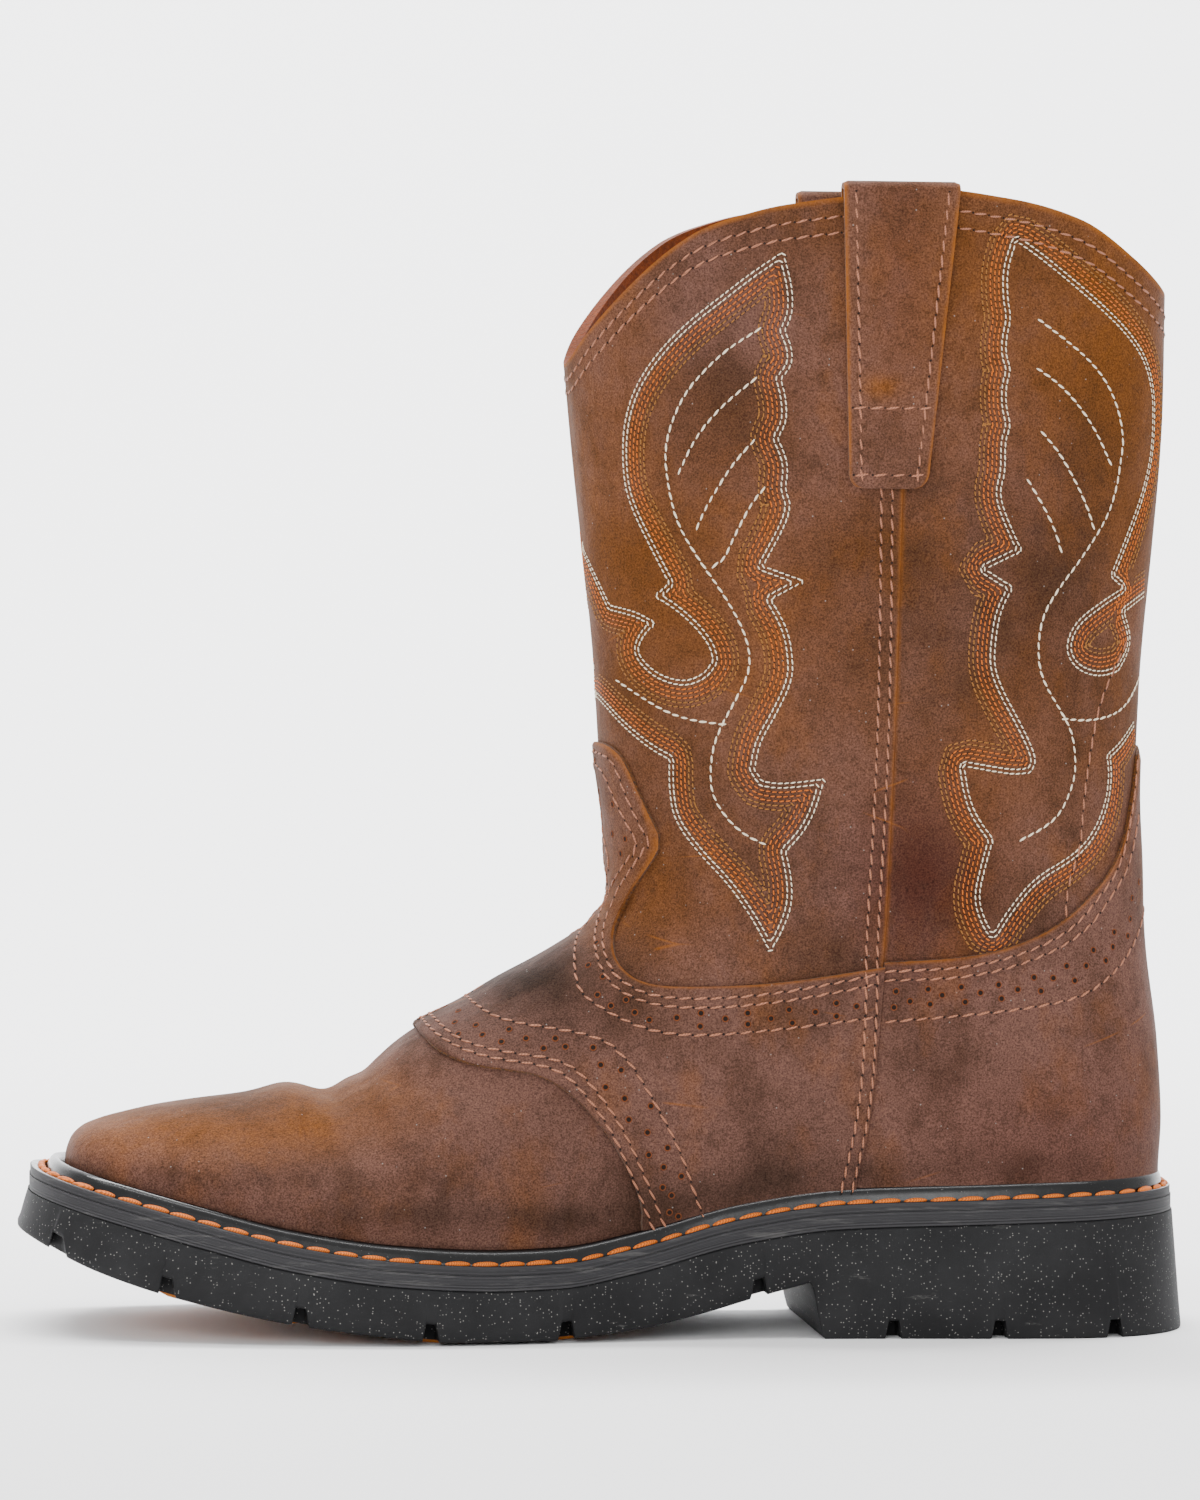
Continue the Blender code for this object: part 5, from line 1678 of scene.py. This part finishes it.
def build_midsole(made):
    """The ground band between the welt and the outsole, closed above and below."""
    outline = WELT_OUTLINE.inset(-MIDSOLE_STAND)
    count = 260
    ways = (1 - np.cos(np.linspace(0, math.pi, count))) / 2
    rows = []
    for share in np.linspace(0, 1, 5):
        swell = 1 + 0.1 * MM * math.sin(math.pi * share) / (BALL_WIDTH / 2)
        depth = FLANGE + MIDSOLE_DROP * (1 - share) + (MIDSOLE + MIDSOLE_FOOT) * share
        loop = []
        for side, order in ((0, ways), (1, ways[::-1][1:-1])):
            x = outline.at(order)
            y = (1, -1)[side] * outline.half(x, side) * swell
            loop.append(np.stack([x, y, welt_top(x) - depth], axis=1))
        rows.append(np.concatenate(loop))
    grid = np.array(rows)
    columns = grid.shape[1]
    faces = grid_faces(len(rows), columns, True)
    for base, flip in ((0, True), ((len(rows) - 1) * columns, False)):
        for i in range(count - 1):
            corners = dict.fromkeys((i, i + 1, (columns - (i + 1)) % columns, (columns - i) % columns))
            quad = [base + k for k in corners]
            faces.append(tuple(quad[::-1]) if flip else tuple(quad))
    depth = np.abs(welt_top(grid[:, :, 0]) - grid[:, :, 2])
    make_piece("boot_midsole", grid.reshape(-1, 3), faces, [made["band"]], ("midsole",),
               {"depth": depth})


def tread_level(way, notches):
    """Height of the sole's lower edge, with the heel breast and the given notches."""
    breast_top = BREAST_SHARE + BREAST_LEAN / LENGTH
    heel = float(ease(way, BREAST_SHARE, breast_top)) if way < breast_top else 1.0
    level = float(rim(max(way, breast_top))) * heel
    half = NOTCH_WIDTH / LENGTH / 2
    for notch in notches:
        away = abs(way - notch)
        if away < half:
            level += NOTCH_DEPTH * min(1.0, (half - away) / (0.4 * half))
    return level


def build_outsole(made):
    """Moulded sole with its heel, with rounded lower edges and its notches."""
    breast_top = BREAST_SHARE + BREAST_LEAN / LENGTH
    half = NOTCH_WIDTH / LENGTH / 2
    notches = LUG_NOTCHES + HEEL_NOTCHES
    ways = list((1 - np.cos(np.linspace(0, math.pi, 220))) / 2)
    edge = 0.0005
    for notch in notches:
        ways = [w for w in ways if abs(w - notch) > half + 3 * edge]
        ways += list(np.linspace(notch - half - edge, notch + half + edge, 15))
    ways = [w for w in ways if not BREAST_SHARE - 0.001 < w < breast_top + 0.001]
    ways += list(np.linspace(BREAST_SHARE, breast_top, 8))
    top_outline = WELT_OUTLINE.inset(-OUTSOLE_STAND)
    soft = OUTSOLE_ROUND
    sections = []
    for way in sorted(ways):
        x_top = float(top_outline.at(way))
        x_low = float(FLOOR_OUTLINE.at(way))
        z_top = float(welt_top(x_top)) - FLANGE - MIDSOLE - OUTSOLE_DROP
        z_low = tread_level(way, notches)
        columns = []
        for side in (0, 1):
            y_top = float(top_outline.half(x_top, side))
            y_low = float(FLOOR_OUTLINE.half(x_low, side))
            column = [(x_top, y_top - 0.4 * MM, z_top), (x_top, y_top, z_top - 0.3 * MM)]
            for share in (0.25, 0.5, 0.75):
                column.append((
                    x_top + (x_low - x_top) * share, y_top + (y_low - y_top) * share,
                    z_top + (z_low - z_top) * share,
                ))
            column.append((x_low, y_low, z_low + soft))
            column.append((x_low, y_low - 0.3 * soft, z_low + 0.3 * soft))
            column.append((x_low, y_low - soft, z_low))
            column.append((x_low, y_low - RIM_WIDTH, z_low))
            column.append((x_low, y_low - RIM_WIDTH - soft, tread_level(way, ())))
            columns.append([(x, (1, -1)[side] * max(y, 0), z) for x, y, z in column])
        sections.append(columns[0] + columns[1][::-1])
    points = np.array(sections).reshape(-1, 3)
    faces = grid_faces(len(sections), len(sections[0]), True)
    make_piece("boot_outsole", points, faces, [made["rubber"]], ("outsole",))


def repaint(node, material):
    """Gives a CAD node that is kept as it is its material."""
    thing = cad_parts[node]
    thing.data.materials.clear()
    thing.data.materials.append(material)


def build_seams(sizes, made):
    """Lock-stitched seams of the panels, overlays and collar."""
    tree = made["stitch_tree"]
    saddle = SADDLE_TOP_LIFT + THREAD_LIFT
    lifts = {
        "front": saddle, "top": saddle, "counter": COUNTER_TOP_LIFT + THREAD_LIFT, "back": THREAD_LIFT,
        "seam": PANEL_STEP + THREAD_LIFT,
    }
    lines = []
    for key, pixels in SEAM_ROWS_PX.items():
        panel = key.split("_")[0]
        line = photo_line(pixels, lifts[panel])
        if panel == "seam":
            line.lift = np.where(line.place < SEAM_SADDLE_PLACE, saddle, line.lift)
        lines.append(line)
    for drop in COLLAR_ROWS:
        angle = np.linspace(0.0, math.pi, 160)
        place = 1 - drop / (UPPER_HEIGHT * 1.05) * np.ones(160)
        outside = (folded(angle) > seam_angle(1.0) + 0.11) | (folded(angle) < seam_angle(1.0) - 0.11)
        step = panel_step(place, angle) + THREAD_LIFT
        for part in (outside & (angle > 1.5), outside & (angle < 1.5)):
            if part.any():
                lines.append(Line(place[part], angle[part], step[part]))
    stitches(
        "seam_stitches", tree, lines, sizes.seam_pitch, sizes.seam_pitch * SEAM_SHARE, sizes.seam_thread,
        made["seam_thread"], slant=0.16, sides=7, rings=6,
    )
    needle_holes(
        "seam_needle_holes", tree, lines, sizes.seam_pitch, sizes.seam_thread * NEEDLE_WIDTH,
        made["dark_hole"],
    )


def strap_lines():
    """Rows of stitches on the outside of both straps."""
    points = []
    normals = []
    edges = []

    def add(rows, side):
        sign = (1, -1)[side]
        start = len(points)
        for x, z in rows:
            base = float(skin(np.array([x]), np.array([z]), side)[0])
            points.append((x, sign * (base + STRAP_LIFT + STRAP_THICKNESS + 0.1 * MM), z))
            normals.append((0.0, sign, 0.0))
        edges.extend((start + i, start + i + 1) for i in range(len(rows) - 1))

    for side in (0, 1):
        for share in (-1, 1):
            rows = []
            for way in np.linspace(STRAP_BOX[0], 0.97, 60):
                x = float(strap_middle(way) + share * (strap_half(way) - STRAP_ROW_INSET))
                rows.append((x, strap_crest(side) - STRAP_DROP * (1 - way)))
            add(rows, side)
        for way in STRAP_BOX:
            half = float(strap_half(way)) - STRAP_ROW_INSET
            xs = float(strap_middle(way)) + np.linspace(-half, half, 14)
            add([(float(x), strap_crest(side) - STRAP_DROP * (1 - way)) for x in xs], side)
    return np.array(points), np.array(normals), edges


def build_ornament(sizes, made):
    """Rows of the wing ornament on both sides of the shaft, and its vein lines."""
    tree = made["stitch_tree"]
    rows = {"white": [], "orange": [], "gold": []}
    colours_of_rows = ["white", "white", "orange", "orange", "orange", "gold", "gold"]
    lift_front = PANEL_STEP + ORNAMENT_LIFT
    for pixels, lift in ((FRONT_WING_PX, lift_front), (BACK_WING_PX, ORNAMENT_LIFT)):
        dense = dense_line(rounded(pixels, 42.0), 1.6)
        for row, colour in enumerate(colours_of_rows):
            if row == 0:
                place, angle = on_leather(dense)
            else:
                place, angle = inner_row(dense, row * sizes.ornament_spacing)
            rows[colour] += split_line(place, angle, lift, 14 * MM)
    for colour, lines in rows.items():
        stitches(
            "ornament_" + colour, tree, lines, sizes.ornament_pitch, sizes.ornament_pitch * ORNAMENT_SHARE,
            sizes.ornament_thread, made[colour + "_thread"],
        )
    needle_holes(
        "ornament_needle_holes", tree, sum(rows.values(), []), sizes.ornament_pitch,
        sizes.ornament_thread * 1.1, made["dark_hole"], sides=4,
    )
    veins = []
    for pixels in VEINS_PX:
        lift = lift_front if pixels[0][0] < SIDE_SEAM_U else ORNAMENT_LIFT
        veins.append(photo_line(pixels, lift, 60.0, 2.0))
    stitches(
        "ornament_veins", tree, veins, sizes.vein_pitch, sizes.vein_pitch * ORNAMENT_SHARE,
        sizes.ornament_thread * 1.35, made["white_thread"], sides=8, rings=6,
    )


def build_holes(sizes, made):
    """Brogue holes of the saddle and counter: a ring of leather fibre round a dark floor of painted shade.
    """
    points = []
    normals = []
    for pixels, lift in ((SADDLE_HOLES_PX, SADDLE_TOP_LIFT), (COUNTER_HOLES_PX, COUNTER_TOP_LIFT)):
        place, angle = on_leather(pixels)
        for medial in (False, True):
            found, outward = Line(place, angle, lift).points(medial)
            points.extend(found)
            normals.extend(outward)
    for name, tree, surface in (
        ("brogue_hole_rings", made["ring_tree"], made["hole_fibre"]),
        ("brogue_hole_floors", made["floor_tree"], made["dark_hole"]),
    ):
        values = {"Radius": sizes.hole_radius, "Edge": HOLE_EDGE, "Surface": surface}
        run_nodes(name, tree, np.array(points), np.array(normals), [], values)


def stage_floor():
    """Pale seamless floor that sweeps up behind the boot."""
    size = 6.0
    bend = 1.2
    back = -2.2
    profile = [(3.5, 0.0), (back + bend, 0.0)]
    for t in np.linspace(0, math.pi / 2, 14)[1:]:
        profile.append((back + bend - math.sin(t) * bend, bend - math.cos(t) * bend))
    profile.append((back, 5.0))
    points = []
    faces = []
    for y, z in profile:
        points += [(-size, y, z), (size, y, z)]
    for i in range(len(profile) - 1):
        faces.append((2 * i + 1, 2 * i, 2 * i + 2, 2 * i + 3))
    mesh = bpy.data.meshes.new("studio_floor")
    mesh.from_pydata(points, [], faces)
    mesh.shade_smooth()
    mesh.materials.append(plain_floor())
    add_object("studio_floor", mesh)


def plain_floor():
    """White seamless paper: matt and even."""
    material, nodes = new_material("white seamless paper")
    finish_material(nodes, linear("f4f4f5"), 0.9, specular=0.1)
    return material


def area_light(name, place, target, width, height, watts):
    """A soft rectangular lamp that points at its target."""
    data = bpy.data.lights.new(name, "AREA")
    data.shape = "RECTANGLE"
    data.size = width
    data.size_y = height
    data.energy = watts
    lamp = add_object(name, data)
    lamp.location = place
    lamp.rotation_euler = (Vector(target) - Vector(place)).to_track_quat("-Z", "Y").to_euler()


def build_stage():
    """Floor, camera and lights, with the view of the photograph."""
    stage_floor()
    right, up, view = photo_ray()
    data = bpy.data.cameras.new("photo camera")
    data.sensor_width = SENSOR
    data.lens = CAMERA_FOCUS / IMAGE_HEIGHT * SENSOR
    camera = add_object("photo camera", data)
    camera.matrix_world = Matrix((
        (right.x, up.x, -view.x, CAMERA_PLACE.x),
        (right.y, up.y, -view.y, CAMERA_PLACE.y),
        (right.z, up.z, -view.z, CAMERA_PLACE.z),
        (0, 0, 0, 1),
    ))
    data.clip_end = 50
    bpy.context.scene.camera = camera
    world = bpy.data.worlds.new("soft studio")
    world.use_nodes = True
    world.node_tree.nodes["Background"].inputs[0].default_value = (1, 1, 1, 1)
    world.node_tree.nodes["Background"].inputs[1].default_value = 1.0
    bpy.context.scene.world = world
    for row in LIGHTS:
        area_light(*row)


def length_property(name, description, millimetres):
    """A length that the panel shows."""
    return FloatProperty(name=name, description=description, default=millimetres * MM, unit="LENGTH")


class BootSizes(bpy.types.PropertyGroup):
    """Sizes of the leather's grain, the stitches and the holes"""
    grain: length_property("Grain", "Size of the leather's grain", 0.45)
    seam_pitch: length_property("Seam pitch", "Length of one seam stitch", 3.9)
    seam_thread: length_property("Seam thread", "Thickness of the seam thread", 0.62)
    ornament_pitch: length_property("Ornament pitch", "Length of one ornament stitch", 1.65)
    ornament_spacing: length_property("Ornament spacing", "Distance between ornament rows", 1.15)
    ornament_thread: length_property("Ornament thread", "Thickness of the ornament thread", 0.42)
    vein_pitch: length_property("Vein pitch", "Length of one vein stitch", 2.5)
    welt_pitch: length_property("Welt pitch", "Length of one welt stitch", 7.1)
    welt_thread: length_property("Welt thread", "Thickness of the welt thread", 2.0)
    hole_radius: length_property("Hole radius", "Radius of a brogue hole", 0.74)


def colour_property(name, description, code):
    """A colour that the panel shows, from its hex value."""
    return FloatVectorProperty(name=name, description=description, subtype="COLOR", size=3,
                               default=linear(code), min=0.0, max=1.0)


class BootColours(bpy.types.PropertyGroup):
    """Colours of the leather, the threads and the sole"""
    leather: colour_property("Leather", "Main brown of the oiled leather", "462a17")
    leather_dark: colour_property("Dark leather", "Deeper brown in its clouds", "312015")
    # Purple brown: the leather's tone and painted sheen
    leather_purple_and_sheen: colour_property("Purple leather with painted sheen", "Purple brown where it is smooth", "593e35")
    # Golden brown of pulled-up leather, also the painted highlight along the shaft's edges
    leather_tan_and_highlight: colour_property("Pulled-up leather", "Golden brown where it is bent", "6a3d12")
    # Smoky brown: the leather's darkest tone, and the painted shade of the dark patches
    leather_smoke_and_shade: colour_property("Smoky leather", "Darkest, greyest brown", "281c15")
    leather_red: colour_property("Red leather", "Reddest brown", "30120b")
    raw_edge: colour_property("Raw edge", "Cut edges and scratches", "8c5018")
    lining: colour_property("Lining", "Napped inside", "823c14")
    lining_dark: colour_property("Lining shade", "Napped inside, darker", "4a220c")
    rubber: colour_property("Rubber", "Black of the sole", "19191a")
    rubber_dust: colour_property("Dusty rubber", "Rubber under dust", "242425")
    dust: colour_property("Dust", "Pale dust", "8a8884")
    band: colour_property("Trimmed band", "Dark lines of the trimmed edge", "1f1f20")
    band_light: colour_property("Trimmed band, light", "Light lines of the trimmed edge", "353436")
    welt: colour_property("Welt", "Black of the welt", "040405")
    seam_thread: colour_property("Seam thread", "Thread of the seams", "a46c52")
    white_thread: colour_property("White thread", "Pale thread of the ornament", "ecdcc0")
    orange_thread: colour_property("Orange thread", "Orange thread of the ornament", "c26214")
    gold_thread: colour_property("Gold thread", "Tan thread of the ornament", "946028")
    welt_thread: colour_property("Welt thread", "Orange thread of the welt", "d46c1c")
    tread: colour_property("Tread insert", "Tan rubber under the forefoot", "a05c1c")
    board: colour_property("Insole", "Board inside the boot", "96683f")


MADE = {}


def materials_ready():
    """Makes the shared materials and node trees once."""
    if MADE:
        return MADE
    sizes = bpy.context.scene.boot_sizes
    colours = bpy.context.scene.boot_colours
    MADE["leather"] = oiled_leather("oiled pull-up leather, buffed", sizes, colours)
    # Overlays and straps get more of the purple brown, partly painted sheen
    MADE["overlay"] = oiled_leather("oiled pull-up leather, overlays", sizes, colours, 0.5)
    MADE["strap"] = oiled_leather("oiled pull-up leather, straps", sizes, colours, 0.8)
    MADE["raw"] = raw_leather("cut leather edge, unsealed", colours.raw_edge, colours.leather_dark)
    MADE["dark_raw"] = raw_leather("cut leather edge, oiled", colours.leather_tan_and_highlight, colours.leather_smoke_and_shade)
    MADE["lining"] = suede_lining("suede lining, napped", colours)
    MADE["rubber"] = moulded_rubber("black rubber, moulded", colours)
    MADE["band"] = trimmed_edge("sole edge, ground", colours)
    MADE["welt"] = glossy_welt("black welt, extruded and waxed", colours)
    MADE["seam_thread"] = thread("polyester thread, seams", tuple(colours.seam_thread))
    MADE["white_thread"] = thread("polyester thread, pale", tuple(colours.white_thread), 0.75)
    MADE["orange_thread"] = thread("polyester thread, orange", tuple(colours.orange_thread), 0.7)
    MADE["gold_thread"] = thread("polyester thread, gold", tuple(colours.gold_thread), 0.7)
    MADE["welt_thread"] = thread("waxed welt thread, orange", tuple(colours.welt_thread), 0.5)
    # Needle holes and brogue hole floors: dark, painted shade
    MADE["dark_hole"] = plain_matt("needle holes and punched edges, in shade", linear("150c07"), 0.9)
    MADE["hole_fibre"] = plain_matt("leather fibre in the punched holes", linear("6a3410"), 0.9, 1500.0)
    MADE["tread"] = plain_matt("tan rubber, moulded", tuple(colours.tread), 0.7)
    MADE["board"] = plain_matt("insole board", tuple(colours.board), 0.9)
    MADE["stitch_tree"] = stitch_tree()
    MADE["ring_tree"] = hole_tree(True)
    MADE["floor_tree"] = hole_tree(False)
    return MADE


class BOOT_OT_stage(bpy.types.Operator):
    """Set the floor, the lights and the camera"""
    bl_idname = "boot.stage"
    bl_label = "Stage"

    def execute(self, context):
        build_stage()
        return {"FINISHED"}


class BOOT_OT_upper(bpy.types.Operator):
    """Make the hollow upper with its creases and its lining"""
    bl_idname = "boot.upper"
    bl_label = "Upper"

    def execute(self, context):
        build_upper(materials_ready())
        return {"FINISHED"}


class BOOT_OT_overlays(bpy.types.Operator):
    """Make the saddle and the counter"""
    bl_idname = "boot.overlays"
    bl_label = "Overlays"

    def execute(self, context):
        made = materials_ready()
        build_saddle(made)
        build_counter(made)
        return {"FINISHED"}


class BOOT_OT_straps(bpy.types.Operator):
    """Make both pull straps with their stitches"""
    bl_idname = "boot.straps"
    bl_label = "Pull straps"

    def execute(self, context):
        made = materials_ready()
        sizes = context.scene.boot_sizes
        build_strap("pull_strap_outer_side", 0, made, "pull_strap_lateral")
        build_strap("pull_strap_inner_side", 1, made, "pull_strap_medial")
        rows = strap_lines()
        stitches("strap_stitches", made["stitch_tree"], rows, sizes.seam_pitch,
                 sizes.seam_pitch * SEAM_SHARE, sizes.seam_thread, made["seam_thread"],
                 slant=0.16, sides=8, rings=8)
        needle_holes("strap_needle_holes", made["stitch_tree"], rows, sizes.seam_pitch,
                     sizes.seam_thread * NEEDLE_WIDTH, made["dark_hole"])
        return {"FINISHED"}


class BOOT_OT_sole(bpy.types.Operator):
    """Make the welt, the midsole and the outsole, and finish the insole and the tread insert"""
    bl_idname = "boot.sole"
    bl_label = "Sole"

    def execute(self, context):
        made = materials_ready()
        sizes = context.scene.boot_sizes
        build_welt(made)
        build_midsole(made)
        build_outsole(made)
        repaint("insole", made["board"])
        repaint("tread_insert", made["tread"])
        stitches("welt_stitches", made["stitch_tree"], welt_stitch_lines(), sizes.welt_pitch,
                 sizes.welt_pitch * WELT_SHARE, sizes.welt_thread, made["welt_thread"],
                 slant=0.10, sides=10, rings=9)
        return {"FINISHED"}


class BOOT_OT_seams(bpy.types.Operator):
    """Sew the panels, the collar and the overlays, and punch the brogue holes"""
    bl_idname = "boot.seams"
    bl_label = "Seams and holes"

    def execute(self, context):
        made = materials_ready()
        build_seams(context.scene.boot_sizes, made)
        build_holes(context.scene.boot_sizes, made)
        return {"FINISHED"}


class BOOT_OT_ornament(bpy.types.Operator):
    """Stitch the wing ornament on both sides of the shaft"""
    bl_idname = "boot.ornament"
    bl_label = "Stitched ornament"

    def execute(self, context):
        build_ornament(context.scene.boot_sizes, materials_ready())
        return {"FINISHED"}


OPERATORS = [
    BOOT_OT_stage, BOOT_OT_upper, BOOT_OT_overlays, BOOT_OT_straps, BOOT_OT_sole, BOOT_OT_seams,
    BOOT_OT_ornament,
]


class BOOT_PT_panel(bpy.types.Panel):
    """Lists the steps that build the boot"""
    bl_idname = "BOOT_PT_panel"
    bl_label = "Western work boot"
    bl_space_type = "VIEW_3D"
    bl_region_type = "UI"
    bl_category = "Boot"

    def draw(self, context):
        for operator in OPERATORS:
            self.layout.operator(operator.bl_idname)
        for group in (context.scene.boot_sizes, context.scene.boot_colours):
            box = self.layout.box()
            for key in group.__annotations__:
                box.prop(group, key)


CLASSES = [BootSizes, BootColours] + OPERATORS + [BOOT_PT_panel]


def register():
    for kind in CLASSES:
        bpy.utils.register_class(kind)
    bpy.types.Scene.boot_sizes = PointerProperty(type=BootSizes)
    bpy.types.Scene.boot_colours = PointerProperty(type=BootColours)


def unregister():
    del bpy.types.Scene.boot_colours
    del bpy.types.Scene.boot_sizes
    for kind in reversed(CLASSES):
        bpy.utils.unregister_class(kind)


def main():
    register()
    bpy.ops.boot.stage()
    bpy.ops.boot.upper()
    bpy.ops.boot.overlays()
    bpy.ops.boot.straps()
    bpy.ops.boot.sole()
    bpy.ops.boot.seams()
    bpy.ops.boot.ornament()


if __name__ == "__main__":
    main()
